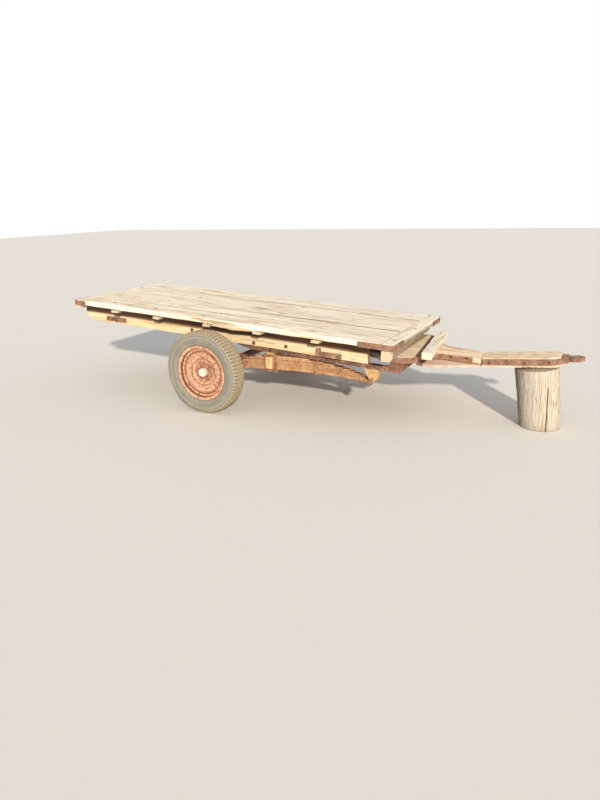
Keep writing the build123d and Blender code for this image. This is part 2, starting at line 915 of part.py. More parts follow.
# Spring clamp: two plates and two U-bolts round the stack, and a clip further out
bolt_side = leaf_width / 2 + u_bolt_side_gap + u_bolt_radius
plate_half = bolt_side + u_bolt_radius + clamp_plate_rim
clip_x = (leaf_ends[-1][1] + leaf_ends[-2][1]) / 2
clip_frame = leaf_frame(clip_x)
clip_height = (leaf_count - 1) * leaf_thickness
bolt_bottom = -plate_clearance - clamp_plate - nut_size - thread_proud
bolt_top = plate_up + clamp_plate + u_bolt_radius - u_bolt_seat
with BuildPart() as clamp:
    for plate_bottom in (plate_up, -plate_clearance - clamp_plate):
        with BuildSketch(level(pivot_frame, plate_bottom)):
            with Locations((0, spring_middle)):
                RectangleRounded(clamp_length, 2 * plate_half, clamp_plate_rounding)
        extrude(amount=clamp_plate)
    for bolt_x in (-u_bolt_spacing / 2, u_bolt_spacing / 2):
        bolt_plane = crosswise(pivot_frame, bolt_x)
        with BuildLine(bolt_plane) as bolt_path:
            FilletPolyline(
                (spring_middle - bolt_side, bolt_bottom),
                (spring_middle - bolt_side, bolt_top),
                (spring_middle + bolt_side, bolt_top),
                (spring_middle + bolt_side, bolt_bottom),
                radius=2 * u_bolt_radius,
            )
        with BuildSketch(Plane(bolt_path.line @ 0, z_dir=bolt_path.line % 0)):
            Circle(u_bolt_radius)
        sweep(path=bolt_path.line)
        with BuildSketch(level(pivot_frame, -plate_clearance - clamp_plate - nut_size)):
            with Locations(
                (bolt_x, spring_middle - bolt_side), (bolt_x, spring_middle + bolt_side)
            ):
                RegularPolygon(nut_half_width, 6)
        extrude(amount=nut_size)
    with BuildSketch(crosswise(clip_frame, -clip_length / 2)):
        with Locations((spring_middle, clip_height / 2)):
            Rectangle(
                leaf_width + 2 * (clip_wall + side_clearance),
                clip_height + 2 * (clip_wall + side_clearance),
            )
            Rectangle(
                leaf_width + 2 * side_clearance,
                clip_height + 2 * side_clearance,
                mode=Mode.SUBTRACT,
            )
    extrude(amount=clip_length)
save_shifted(clamp, "spring_clamp", 2 * spring_middle)

# Axle clamps: a seat, a plate and two U-bolts hold the axle on the master leaf
arc_to_axle = hypot(spring_crown_x, axle_height - arc_height)
axle_turn = degrees(atan2(spring_crown_x, axle_height - arc_height))
axle_frame = pitched(-axle_turn, (0, 0, axle_height))
leaf_under = spring_radius - arc_to_axle
bolt_arm = axle_radius + axle_seat_clearance + u_bolt_radius
axle_plate_up = leaf_under - side_clearance - clamp_plate
thread_end = axle_plate_up - nut_size - thread_proud
with BuildPart() as axle_clamp:
    with BuildSketch(level(axle_frame, axle_plate_up)):
        with Locations((0, spring_middle)):
            RectangleRounded(axle_clamp_length, 2 * plate_half, clamp_plate_rounding)
    extrude(amount=clamp_plate)
    for bolt_y in (spring_middle - bolt_side, spring_middle + bolt_side):
        with BuildLine(upright(axle_frame, bolt_y)) as axle_path:
            Line((-bolt_arm, thread_end), (-bolt_arm, 0))
            ThreePointArc((-bolt_arm, 0), (0, bolt_arm), (bolt_arm, 0))
            Line((bolt_arm, 0), (bolt_arm, thread_end))
        with BuildSketch(Plane(axle_path.line @ 0, z_dir=axle_path.line % 0)):
            Circle(u_bolt_radius)
        sweep(path=axle_path.line)
        with BuildSketch(level(axle_frame, axle_plate_up - nut_size)):
            with Locations((-bolt_arm, bolt_y), (bolt_arm, bolt_y)):
                RegularPolygon(nut_half_width, 6)
        extrude(amount=nut_size)
    leaf_over = leaf_under + leaf_thickness + side_clearance
    with BuildSketch(upright(axle_frame, spring_middle + leaf_width / 2)):
        with Locations((0, leaf_over)):
            Rectangle(
                2 * axle_radius,
                axle_radius,
                align=(Align.CENTER, Align.MIN),
            )
        Circle(axle_radius + axle_seat_clearance, mode=Mode.SUBTRACT)
    extrude(amount=leaf_width)
save_shifted(axle_clamp, "axle_clamp", 2 * spring_middle)

# Spring hangers, tapered castings under the front of the side members
boss_point = deck.from_local_coords(Vector(hanger_to_axle, 0, member_bottom - hanger_depth))
with BuildPart() as hanger:
    with BuildSketch(upright(deck, spring_middle + leaf_width / 2)):
        with BuildLine():
            Polyline(
                (hanger_to_axle - hanger_length / 2, member_bottom),
                (hanger_to_axle + hanger_length / 2, member_bottom),
                (hanger_to_axle + hanger_length / 2, member_bottom - hanger_flange),
                (hanger_to_axle + hanger_foot_length / 2, member_bottom - hanger_depth),
                (hanger_to_axle - spring_eye_radius, member_bottom - hanger_depth),
                (hanger_to_axle - hanger_length / 2, member_bottom - hanger_flange),
                close=True,
            )
        make_face()
        with Locations((hanger_to_axle, member_bottom - hanger_depth)):
            Circle(spring_eye_radius)
            Circle(spring_pin_radius + pin_clearance, mode=Mode.SUBTRACT)
    extrude(amount=leaf_width)
save_shifted(hanger, "spring_hanger", 2 * spring_middle)

# Shackles, two links and two pins between each hanger and its spring's eye
eye_point = front_frame.from_local_coords(Vector(0, 0, eye_up))
link_middle = (boss_point + eye_point) / 2
link_length = (boss_point - eye_point).length
link_turn = degrees(atan2(boss_point.Z - eye_point.Z, boss_point.X - eye_point.X))
link_inner = leaf_width / 2 + side_clearance
with BuildPart() as shackle:
    for start in (spring_middle - link_inner, spring_middle + link_inner + shackle_thickness):
        with BuildSketch(Plane.XZ.offset(-start)):
            with Locations((link_middle.X, link_middle.Z)):
                SlotCenterToCenter(link_length, 2 * shackle_half_width, rotation=link_turn)
        extrude(amount=shackle_thickness)
    pin_end = spring_middle + link_inner + shackle_thickness + pin_proud
    with BuildSketch(Plane.XZ.offset(-pin_end)):
        with Locations((boss_point.X, boss_point.Z), (eye_point.X, eye_point.Z)):
            Circle(spring_pin_radius)
    extrude(amount=2 * (pin_end - spring_middle))
save_shifted(shackle, "spring_shackle", 2 * spring_middle)

# Log under the tongue, leaning back a little, its top sawn to the tongue's slope
log_top = tongue.origin.Z
with BuildPart() as log:
    with BuildSketch(Plane.XY):
        with Locations((log_to_axle, log_to_left)):
            Circle(log_base_radius)
    with BuildSketch(Plane.XY.offset(log_top)):
        with Locations((log_to_axle - log_lean, log_to_left)):
            Circle(log_radius)
    loft()
    split(bisect_by=level(tongue, -tongue_depth), keep=Keep.BOTTOM)
save(log, "log_stand")
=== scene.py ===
import json
from math import atan2, cos, exp, hypot, pi, radians, sin
from random import Random

import bpy
from mathutils import Euler, Matrix, Vector


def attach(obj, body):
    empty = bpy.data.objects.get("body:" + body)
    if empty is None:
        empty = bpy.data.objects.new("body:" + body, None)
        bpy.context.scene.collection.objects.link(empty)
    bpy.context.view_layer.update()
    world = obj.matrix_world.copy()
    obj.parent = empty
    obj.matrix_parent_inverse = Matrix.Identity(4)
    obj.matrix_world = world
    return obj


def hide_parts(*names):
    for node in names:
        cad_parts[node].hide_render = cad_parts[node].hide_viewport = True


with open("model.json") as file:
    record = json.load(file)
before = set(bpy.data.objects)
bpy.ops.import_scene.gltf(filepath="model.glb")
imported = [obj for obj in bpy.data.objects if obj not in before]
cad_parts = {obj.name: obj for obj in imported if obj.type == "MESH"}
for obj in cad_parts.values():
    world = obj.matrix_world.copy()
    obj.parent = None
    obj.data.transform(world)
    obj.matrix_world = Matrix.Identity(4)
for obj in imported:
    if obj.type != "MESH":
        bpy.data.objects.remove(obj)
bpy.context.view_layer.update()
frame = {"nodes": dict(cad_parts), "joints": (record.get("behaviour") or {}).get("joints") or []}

nodes = frame["nodes"]
axle_x, _, axle_z = frame["joints"][0]["pos_m"]

# Camera and light
# A hand-held view from the wagon's near front corner, a little above its deck,
# with a low warm key light from the front and a pale, even sky.
# The camera's place, and the degrees by which it is turned, tipped and rolled
view_place = (axle_x + 2.882, -4.608, 1.579)
view_turn, view_drop, view_roll = 27.9, 17.55, -1.54
# How high the sun stands, and how far it is round from the near side to the front
sun_height, sun_side = 22, 37.2
camera_data = bpy.data.cameras.new("view")
camera_data.lens = 28.21
camera_data.sensor_width = 36
camera = bpy.data.objects.new("view", camera_data)
bpy.context.scene.collection.objects.link(camera)
camera.matrix_world = (
    Matrix.Translation(view_place)
    @ Matrix.Rotation(radians(view_turn), 4, "Z")
    @ Matrix.Rotation(radians(90 - view_drop), 4, "X")
    @ Matrix.Rotation(radians(view_roll), 4, "Z")
)
bpy.context.scene.camera = camera
bpy.context.scene.view_settings.view_transform = "Standard"


def srgb(code):
    """Linear colour of an sRGB hex code."""
    channels = [int(code[at : at + 2], 16) / 255 for at in (1, 3, 5)]
    return tuple(
        c / 12.92 if c <= 0.04045 else ((c + 0.055) / 1.055) ** 2.4 for c in channels
    ) + (1,)


def add(tree, kind, inputs=None, stops=None, **settings):
    """Add a node with its settings; an input given as a socket is linked."""
    made = tree.nodes.new(kind)
    for key, value in settings.items():
        setattr(made, key, value)
    for key, value in (inputs or {}).items():
        if isinstance(value, bpy.types.NodeSocket):
            tree.links.new(value, made.inputs[key])
        else:
            made.inputs[key].default_value = value
    if stops:
        elements = made.color_ramp.elements
        while len(elements) < len(stops):
            elements.new(1)
        for element, (place, colour) in zip(elements, stops):
            element.position = place
            element.color = srgb(colour)
    return made


sun_data = bpy.data.lights.new("key", "SUN")
sun_data.energy = 3.8
sun_data.angle = radians(2)
sun_data.color = srgb("#FFF3E2")[:3]
sun = bpy.data.objects.new("key", sun_data)
bpy.context.scene.collection.objects.link(sun)
sun.rotation_euler = Euler((radians(90 - sun_height), 0, radians(sun_side)), "XYZ")

world = bpy.data.worlds.new("studio")
bpy.context.scene.world = world
world.use_nodes = True
sky = world.node_tree
sky.nodes.clear()
ray = add(sky, "ShaderNodeLightPath")
seen = ray.outputs["Is Camera Ray"]
for kind in ("Is Glossy Ray", "Is Transmission Ray"):
    either = add(sky, "ShaderNodeMath", {0: seen, 1: ray.outputs[kind]}, operation="MAXIMUM")
    seen = either.outputs[0]
fill = add(sky, "ShaderNodeBackground", {"Color": srgb("#EEF1F5"), "Strength": 0.56})
white = add(sky, "ShaderNodeBackground", {"Color": (1, 1, 1, 1), "Strength": 1})
shown = add(sky, "ShaderNodeMixShader", {0: seen, 1: fill.outputs[0], 2: white.outputs[0]})
add(sky, "ShaderNodeOutputWorld", {"Surface": shown.outputs[0]})

# Deck planks
# Five broad sawn planks laid lengthwise between two header boards and nailed down to
# the battens. Softwood left bare in the weather, bleached grey-cream on top.
deck_pitch = radians(3.5)
deck_top = 0.718
deck_frame = Matrix.Translation((axle_x, 0, deck_top)) @ Matrix.Rotation(deck_pitch, 4, "Y")
# How a wood's pattern is turned for its grain to run along the deck, or across it
along_deck = (0, -deck_pitch, 0)
across_deck = (0, 0, pi / 2)
batten_places = (-1.025, -0.572, -0.072, 0.398, 0.896)


def alone(piece):
    """Select one object and nothing else."""
    bpy.ops.object.select_all(action="DESELECT")
    piece.select_set(True)
    bpy.context.view_layer.objects.active = piece


def settle(piece, place):
    """Set a piece's place, then move it into the piece's mesh."""
    piece.matrix_world = place
    alone(piece)
    bpy.ops.object.transform_apply(location=True, rotation=True, scale=True)


def shape(piece, kind, **settings):
    """Add a modifier to a piece and apply it."""
    made = piece.modifiers.new(kind.lower(), kind)
    for key, value in settings.items():
        setattr(made, key, value)
    alone(piece)
    bpy.ops.object.modifier_apply(modifier=made.name)


def pick_faces(piece, wanted):
    """Select the faces that are wanted, and enter edit mode."""
    alone(piece)
    bpy.ops.object.mode_set(mode="EDIT")
    bpy.ops.mesh.select_mode(type="FACE")
    bpy.ops.mesh.select_all(action="DESELECT")
    bpy.ops.object.mode_set(mode="OBJECT")
    for face in piece.data.polygons:
        face.select = wanted(face.center)
    bpy.ops.object.mode_set(mode="EDIT")


def finish(piece, material, body="wagon", stands_for=()):
    """Give a piece its material and its body."""
    piece.data.materials.clear()
    piece.data.materials.append(material)
    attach(piece, body)
    if stands_for:
        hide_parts(*stands_for)


def new_material(name):
    """An empty node material and its tree."""
    material = bpy.data.materials.new(name)
    material.use_nodes = True
    material.node_tree.nodes.clear()
    return material, material.node_tree


def finish_surface(tree, colour, roughness, height, depth):
    """Close a material's tree with its shader, its bump and its output."""
    bump = add(
        tree, "ShaderNodeBump", {"Height": height, "Distance": depth, "Strength": 1.0}
    )
    shader = add(
        tree,
        "ShaderNodeBsdfPrincipled",
        {"Base Color": colour, "Roughness": roughness, "Normal": bump.outputs["Normal"]},
    )
    add(tree, "ShaderNodeOutputMaterial", {"Surface": shader.outputs["BSDF"]})


def weathered_wood(
    name,
    tones,
    turn,
    seed=0.0,
    ring_mm=14,
    heart=(0, -0.09),
    ring_share=0.35,
    checked=0.5,
    streak_mm=24,
    worn=0.30,
):
    """Old bare wood: bleached patches, growth rings, long streaks and checks.

    The grain runs along x once turned. Tones are bleached, middle, dark and crack.
    """
    bleached, middle, dark, crack = tones
    material, tree = new_material(name)
    place = add(tree, "ShaderNodeTexCoord")
    along = add(
        tree,
        "ShaderNodeMapping",
        {"Vector": place.outputs["Object"], "Rotation": turn, "Location": (seed, 0, 0)},
    )
    board = along.outputs["Vector"]
    # Growth rings, 3 to 5 mm apart in the wood and drawn as coarse as shows
    from_heart = add(
        tree,
        "ShaderNodeMapping",
        {"Vector": board, "Scale": (0.16, 1, 1), "Location": (0, -heart[0], -heart[1])},
    )
    rings = add(
        tree,
        "ShaderNodeTexWave",
        {
            "Vector": from_heart.outputs["Vector"],
            "Scale": 2 * pi / (20 * ring_mm / 1000),
            "Distortion": 6.0,
            "Detail": 3.0,
            "Detail Scale": 0.35,
            "Detail Roughness": 0.6,
        },
        wave_type="RINGS",
        rings_direction="X",
        wave_profile="SAW",
    )
    # Long streaks, half a metre long and 24 mm across unless the wood is finer; broad
    # patches of bleaching, 0.4 m long; fibres, half a millimetre in the wood and drawn
    # at three; and checks, thin cracks a few hands long
    across = 1000 / streak_mm
    noises = {}
    for part, stretch, shift, detail, rough in (
        ("streaks", (2.2, across, across), (0, 0, 0), 6.0, 0.66),
        ("patches", (2.4, 8, 8), (0, 0, 0), 5.0, 0.6),
        ("fibres", (11, 330, 330), (0, 0, 0), 3.0, 0.6),
        ("checks", (1.5, 34, 34), (4.1, 7.7, 1.3), 2.0, 0.4),
    ):
        stretched = add(
            tree, "ShaderNodeMapping", {"Vector": board, "Scale": stretch, "Location": shift}
        )
        noise = add(
            tree,
            "ShaderNodeTexNoise",
            {
                "Vector": stretched.outputs["Vector"],
                "Scale": 1.0,
                "Detail": detail,
                "Roughness": rough,
            },
        )
        noises[part] = noise.outputs["Fac"]
    # A check runs where its noise crosses its middle level
    off_line = add(
        tree, "ShaderNodeMath", {0: noises["checks"], 1: 0.5}, operation="SUBTRACT"
    )
    distance = add(tree, "ShaderNodeMath", {0: off_line.outputs[0]}, operation="ABSOLUTE")
    # The cut ends, painted on the mesh, show the rings and no streaks
    end = add(tree, "ShaderNodeAttribute", attribute_name="end").outputs["Fac"]
    off_end = add(tree, "ShaderNodeMath", {0: 1.0, 1: end}, operation="SUBTRACT")
    end_rings = add(tree, "ShaderNodeMath", {0: end, 1: 0.4}, operation="MULTIPLY")
    most_rings = add(
        tree, "ShaderNodeMath", {0: end_rings.outputs[0], 1: ring_share}, operation="MAXIMUM"
    )
    # What is read off each pattern, between two of its levels
    sources = {**noises, "distance": distance.outputs[0], "rings": rings.outputs["Fac"]}
    shares = {}
    for part, source, low, high, at_low, at_high in (
        ("crack", "distance", 0.003, 0.011, checked, 0.0),
        ("open", "patches", 0.52, 0.60, 0.0, 1.0),
        ("faded", "patches", 0.42, 0.64, 0.0, 0.5),
        ("ringed", "rings", 0.5, 1.0, 0.0, most_rings.outputs[0]),
        ("fibre_tone", "fibres", 0.3, 0.7, 0.84, 1.1),
        ("roughness", "streaks", 0.3, 0.7, 0.92, 0.74),
    ):
        levels = {"Value": sources[source], "From Min": low, "From Max": high}
        share = add(
            tree, "ShaderNodeMapRange", {**levels, "To Min": at_low, "To Max": at_high}
        )
        shares[part] = share.outputs[0]
    cracks = shares["crack"]
    for share in (shares["open"], off_end.outputs[0]):
        cracks = add(
            tree, "ShaderNodeMath", {0: cracks, 1: share}, operation="MULTIPLY"
        ).outputs[0]
    ground = add(
        tree,
        "ShaderNodeValToRGB",
        {"Fac": noises["streaks"]},
        stops=[(worn, dark), (0.45, middle), (0.56, bleached)],
    )
    colour = ground.outputs["Color"]
    for share, code in ((shares["faded"], bleached), (end, middle), (shares["ringed"], dark)):
        coat = add(
            tree, "ShaderNodeMix", {0: share, 6: colour, 7: srgb(code)}, data_type="RGBA"
        )
        colour = coat.outputs[2]
    fibred = add(
        tree, "ShaderNodeVectorMath", {0: colour, 3: shares["fibre_tone"]}, operation="SCALE"
    )
    colour = fibred.outputs["Vector"]
    # Iron stains round the nails, dirt in the joints and painted shade out of the sun, all
    # painted on the mesh
    stain_and_shade = add(tree, "ShaderNodeAttribute", attribute_name="stain_and_shade").outputs["Fac"]
    for share in (stain_and_shade, cracks):
        coat = add(
            tree, "ShaderNodeMix", {0: share, 6: colour, 7: srgb(crack)}, data_type="RGBA"
        )
        colour = coat.outputs[2]
    # Raised streaks and fibres, low rings between them, and deep cracks
    height = 0.0
    for source, share in (
        (rings.outputs["Fac"], 0.3),
        (noises["fibres"], 0.5),
        (noises["streaks"], 1.0),
        (cracks, -2.2),
    ):
        height = add(
            tree, "ShaderNodeMath", {0: source, 1: share, 2: height}, operation="MULTIPLY_ADD"
        ).outputs[0]
    finish_surface(tree, colour, shares["roughness"], height, 0.003)
    return material


def worn_timber(node, name, grain, voxel, wear):
    """A worn copy of a timber: edges softened, faces hollowed along the grain."""
    piece = bpy.data.objects.new(name, nodes[node].data.copy())
    bpy.context.scene.collection.objects.link(piece)
    alone(piece)
    bpy.ops.object.mode_set(mode="EDIT")
    bpy.ops.mesh.select_all(action="SELECT")
    bpy.ops.mesh.remove_doubles(threshold=0.00005)
    bpy.ops.object.mode_set(mode="OBJECT")
    settle(piece, deck_frame.inverted())
    shape(piece, "REMESH", mode="VOXEL", voxel_size=voxel)
    # The wear reads its pattern from a guide stretched along the grain
    guide = bpy.data.objects.new("grain_guide", None)
    bpy.context.scene.collection.objects.link(guide)
    guide.scale = grain
    bpy.context.view_layer.update()
    # Hollows 35 mm across, and others 12 mm across and half as deep
    for size, depth in ((0.035, wear), (0.012, wear * 0.5)):
        clouds = bpy.data.textures.new(f"{name}_wear", "CLOUDS")
        clouds.noise_scale = size
        clouds.noise_depth = 2
        shape(
            piece,
            "DISPLACE",
            texture=clouds,
            texture_coords="OBJECT",
            texture_coords_object=guide,
            strength=depth,
            mid_level=0.8,
        )
    bpy.data.objects.remove(guide)
    return piece


def paint(piece, name, value_at):
    """Store a value at every point of a piece, for its material to read."""
    layer = piece.data.attributes.new(name, "FLOAT", "POINT")
    layer.data.foreach_set("value", [value_at(point) for point in piece.data.vertices])


def mark_ends(piece, grain):
    """Paint the faces that are sawn across the grain."""
    paint(
        piece, "end", lambda point: min(max(4 * abs(point.normal.dot(grain)) - 2.4, 0), 1)
    )


def to_place(piece):
    """Move a piece from the deck's frame to its place, and smooth its round edges."""
    settle(piece, deck_frame)
    bpy.ops.object.shade_smooth_by_angle(angle=radians(50))


def lay(node, name, way, voxel, wear, wood, stain_and_shade=None):
    """Put a worn timber in its CAD node's place, its ends, its stains and its painted shade
    marked.
    """
    # The wear's hollows are twelve times as long as they are wide
    grain = [12 if share else 1 for share in way]
    timber = worn_timber(node, name, grain, voxel, wear)
    mark_ends(timber, Vector(way))
    if stain_and_shade:
        paint(timber, "stain_and_shade", stain_and_shade)
    to_place(timber)
    finish(timber, wood, stands_for=[node])


lengthwise, crosswise = (1, 0, 0), (0, 1, 0)
plank_tones = ("#FFFBEC", "#FFEED0", "#C59C70", "#5A4330")
chance = Random(4)
deck_side = 0.600
# Each joint's place, how dark its dirt is, and how far back the dirt has faded
plank_joints = (
    (-0.373, 0.4, -1.2), (-0.156, 0.95, -0.5), (0.085, 0.35, -1.0), (0.3255, 0.9, -1.4),
)
header_joints = (-1.387, 1.397)
board_edges = (-deck_side, *(place for place, _, _ in plank_joints), deck_side)
# The nails that have bled rust, and the many that have gone grey
rusty_nails = [
    (-1.088, -0.51), (-0.644, -0.505), (-0.146, -0.515), (0.342, -0.5), (0.842, -0.52),
    (-0.65, 0.14), (0.335, -0.09), (0.352, 0.28), (-1.43, 0.24), (1.44, -0.44), (1.45, 0.02),
]
nail_places = []
for low, high in zip(board_edges, board_edges[1:]):
    for along in batten_places:
        for share in (0.18, 0.82):
            across = low + (high - low) * share + chance.uniform(-0.012, 0.012)
            nail_places.append((along - 0.02 + chance.uniform(-0.012, 0.012), across))
for end in (-1.436, 1.445):
    for across in (-0.55, -0.43, -0.2, 0.02, 0.24, 0.44, 0.55):
        nail_places.append(
            (end + chance.uniform(-0.02, 0.02), across + chance.uniform(-0.02, 0.02))
        )


def deck_stain_and_shade(point):
    """Dark round the nails, in the joints and at the planks' ends, and painted shade below the
    planks' tops.
    """
    along, across, up = point.co
    dark = 0.0
    # A nail's rust spreads 16 mm along the grain and 9 mm across it
    for nail_along, nail_across in rusty_nails:
        near = hypot((along - nail_along) / 0.016, (across - nail_across) / 0.009)
        if near < 3:
            dark = max(dark, 0.75 * exp(-near * near / 2))
    # The dirt in a joint reaches 14 mm to each side, and a header's 6 mm
    if abs(along) < 1.39:
        for place, strength, fade in plank_joints:
            joint = exp(-(((across - place) / 0.014) ** 2))
            dark = max(dark, strength * joint * min(1.0, 0.35 + max(0.0, along - fade)))
    end = min(abs(along - joint) for joint in header_joints)
    dark = max(dark, 0.42 * exp(-end / 0.006))
    # Painted shade darkens the planks' undersides and the sides in their gaps, but not their
    # outer edges
    low = min(max(-up - 0.006, 0.0) / 0.03, 1.0)
    return max(dark, 0.6 * low if abs(across) < deck_side - 0.01 else 0.0)


def knot_stain_and_shade(point):
    """The deck's stains and painted shade, and a long brown knot in the middle of the deck."""
    along, across, _ = point.co
    knot = hypot((along - 0.085) / 0.085, (across - 0.019) / 0.028)
    return max(deck_stain_and_shade(point), 0.65 * exp(-knot * knot))


for number in range(1, 6):
    plank_wood = weathered_wood(
        f"bleached_plank_{number}",
        plank_tones,
        along_deck,
        seed=2.3 * number,
        ring_mm=22,
        heart=(0.25 * number - 0.75, 0.55),
        ring_share=0.4,
        worn=0.39,
    )
    lay(
        f"deck_board_{number}", f"plank_{number}", lengthwise, 0.008, 0.007, plank_wood,
        knot_stain_and_shade if number == 3 else deck_stain_and_shade,
    )

# The headers' softwood has bleached more evenly than the planks'
header_wood = weathered_wood(
    "bleached_header", plank_tones, across_deck, seed=9.1, ring_mm=18, worn=0.35
)
for end in ("front", "rear"):
    lay(
        f"deck_header_{end}", f"header_{end}", crosswise, 0.007, 0.007, header_wood,
        deck_stain_and_shade,
    )

# The near plank's lower edge has split along its length. A long sliver hangs from it, a
# short one hangs down at a batten, and a third has turned golden where the edge tore.
sliver_wood = weathered_wood(
    "split_sliver", ("#F6E2C0", "#E0C08E", "#9A7650", "#3A271A"), along_deck, seed=4.4
)
for number, (middle, half_length, thick, droop, torn) in enumerate(
    (
        ((0.185, -0.589, -0.052), 0.27, 0.019, -0.008, 0.0),
        ((-0.075, -0.589, -0.052), 0.034, 0.012, 0.55, 0.0),
        ((0.05, -0.5955, -0.022), 0.25, 0.015, 0.0, 0.22),
    )
):
    bpy.ops.object.select_all(action="DESELECT")
    bpy.ops.mesh.primitive_cone_add(
        vertices=14,
        radius1=1,
        radius2=0.05,
        depth=1,
        location=(0, 0, 0.5),
        end_fill_type="NGON",
    )
    sliver = bpy.context.object
    sliver.name = f"edge_sliver_{number + 1}"
    settle(sliver, Matrix.Translation((0, 0, 0.5)))
    # Its foot is drawn out too, so that both ends run to a point
    pick_faces(sliver, lambda spot: spot.z < 0.001)
    bpy.ops.mesh.extrude_region_move(TRANSFORM_OT_translate={"value": (0, 0, -1)})
    bpy.ops.transform.resize(value=(0.05, 0.05, 1), center_override=(0, 0, -1))
    bpy.ops.object.mode_set(mode="OBJECT")
    settle(
        sliver,
        Matrix.Translation(middle)
        @ Matrix.Rotation(pi / 2 + droop, 4, "Y")
        @ Matrix.Diagonal((thick, thick * 0.55, half_length, 1)),
    )
    shape(sliver, "REMESH", mode="VOXEL", voxel_size=0.004)
    ripple = bpy.data.textures.new("sliver_wear", "CLOUDS")
    ripple.noise_scale = 0.03
    shape(
        sliver,
        "DISPLACE",
        texture=ripple,
        texture_coords="GLOBAL",
        strength=0.006,
        mid_level=0.6,
    )
    mark_ends(sliver, Vector(lengthwise))
    # Painted shade darkens each sliver's underside, and the torn third sliver is darker all
    # round
    paint(sliver, "stain_and_shade", lambda point: 0.5 if point.normal.z < -0.5 else torn)
    to_place(sliver)
    finish(sliver, sliver_wood)

# Side rails and battens
# Sawn pine, weathered to a golden tan, with long dark streaks and fine checks along
# the grain. The rails lie on edge under the battens.
rail_wood = weathered_wood(
    "sawn_pine_rail", ("#F8E2BC", "#ECD2A2", "#B8925C", "#5A3420"), along_deck, seed=1.7
)
batten_wood = weathered_wood(
    "sawn_pine_batten", ("#F6E8CE", "#E4D0AC", "#AF9168", "#4E3222"), across_deck, seed=5.2
)
footboard_wood = weathered_wood(
    "bleached_footboard", ("#FFF6E8", "#F2E2CB", "#C4AC8C", "#4E3C2C"), across_deck, seed=12.4
)


def rail_painted_shade(point):
    """Painted shade: dark along the rails' outer faces under the deck's edge, and a lighter
    shade over their inner sides.
    """
    shaded = 0.95 * min(max((point.co.z + 0.136) / 0.014, 0.0), 1.0)
    return shaded if abs(point.co.y) > 0.455 else 0.6


def batten_painted_shade(point):
    """Painted shade all along, but for the ends and the near end of the bolster's front, which
    the sun reaches.
    """
    _, across, _ = point.co
    in_shade = abs(across) < 0.585 and (point.normal.x < 0.6 or across > -0.53)
    return 0.6 if in_shade else 0.0


for side in ("left", "right"):
    lay(
        f"side_rail_{side}", f"rail_{side}", lengthwise, 0.008, 0.009, rail_wood,
        rail_painted_shade,
    )
for node, name in (("deck_battens", "battens"), ("front_bolster", "bolster")):
    lay(node, name, crosswise, 0.006, 0.006, batten_wood, batten_painted_shade)
lay("footboard", "footplank", crosswise, 0.006, 0.008, footboard_wood)

# Drawbar timbers, tongue and plank
# Hardwood planks sawn to their curve, weathered to a pinkish grey that is golden in the sun. The
# plank under the neck has a darker copy of the wood, as painted shade.
drawbar_wood = weathered_wood(
    "drawbar_oak", ("#FCE8CA", "#F1D3AD", "#BA936F", "#402C20"), along_deck, seed=3.3
)
under_wood = weathered_wood(
    "shaded_under_plank", ("#E8CDB8", "#DCBAA2", "#A8826A", "#402C20"), along_deck, seed=8.2
)
# How far forward the joint between the timbers shows, and how far forward painted shade from the
# deck reaches
joint_end, deck_shade = 1.78, 1.45


def timber_stain_and_shade(point):
    """Dirt in the joint between the two timbers, the footboard's shadow painted behind it, and
    painted shade under the deck.
    """
    along, across, _ = point.co
    joint = 0.75 * exp(-((across / 0.007) ** 2)) if along < joint_end else 0.0
    # How far back from the footboard's rear edge, which lies askew
    behind = 1.574 - 0.119 * across - along
    # The footboard's shadow, painted on the timbers behind it
    footboard_shadow = 0.75 * min(1.0, max(0.0, (0.048 - behind) / 0.012)) if behind > -0.02 else 0.0
    return max(joint, footboard_shadow, 0.6 if along < deck_shade else 0.0)


for node, name, wood in (
    ("drawbar_timber_left", "leg_left", drawbar_wood),
    ("drawbar_timber_right", "leg_right", drawbar_wood),
    ("drawbar_tongue", "tongue", drawbar_wood),
    ("drawbar_under_plank", "under_plank", under_wood),
):
    lay(node, name, lengthwise, 0.006, 0.007, wood, timber_stain_and_shade)

# Log
# A sawn length of trunk with its bark gone, grey-tan, split down its side by drying,
# and standing on end.
log_wood = weathered_wood(
    "barkless_log",
    ("#D8CFBE", "#B8A98F", "#6A5844", "#3C2412"),
    (0, pi / 2, 0),
    seed=6.6,
    ring_mm=26,
    ring_share=0.06,
    checked=0.3,
    streak_mm=7,
    worn=0.36,
)
log = worn_timber("log_stand", "log", (1, 1, 8), 0.006, 0.006)
mark_ends(log, Vector((0, 0, 1)))
to_place(log)
# The widest drying split runs from the foot nearly to the top, on the sunny side. The
# wedge that cuts it is 8 mm wide and stretched fourteen times into the wood.
log_middle = Vector((axle_x + 2.39, -0.06, 0))
log_radius = 0.148
split_way = Vector((0.542, -0.840, 0))
wedge_stretch = 14
bpy.ops.object.select_all(action="DESELECT")
bpy.ops.mesh.primitive_cone_add(
    vertices=4, radius1=0.0042, radius2=0.0015, depth=0.36, location=(0, 0, 0)
)
wedge = bpy.context.object
settle(
    wedge,
    Matrix.Translation(log_middle + log_radius * split_way + Vector((0, 0, 0.15)))
    @ Matrix.Rotation(atan2(split_way.y, split_way.x), 4, "Z")
    @ Matrix.Diagonal((wedge_stretch, 1, 1, 1)),
)
shape(log, "BOOLEAN", operation="DIFFERENCE", solver="EXACT", object=wedge)
bpy.data.objects.remove(wedge)


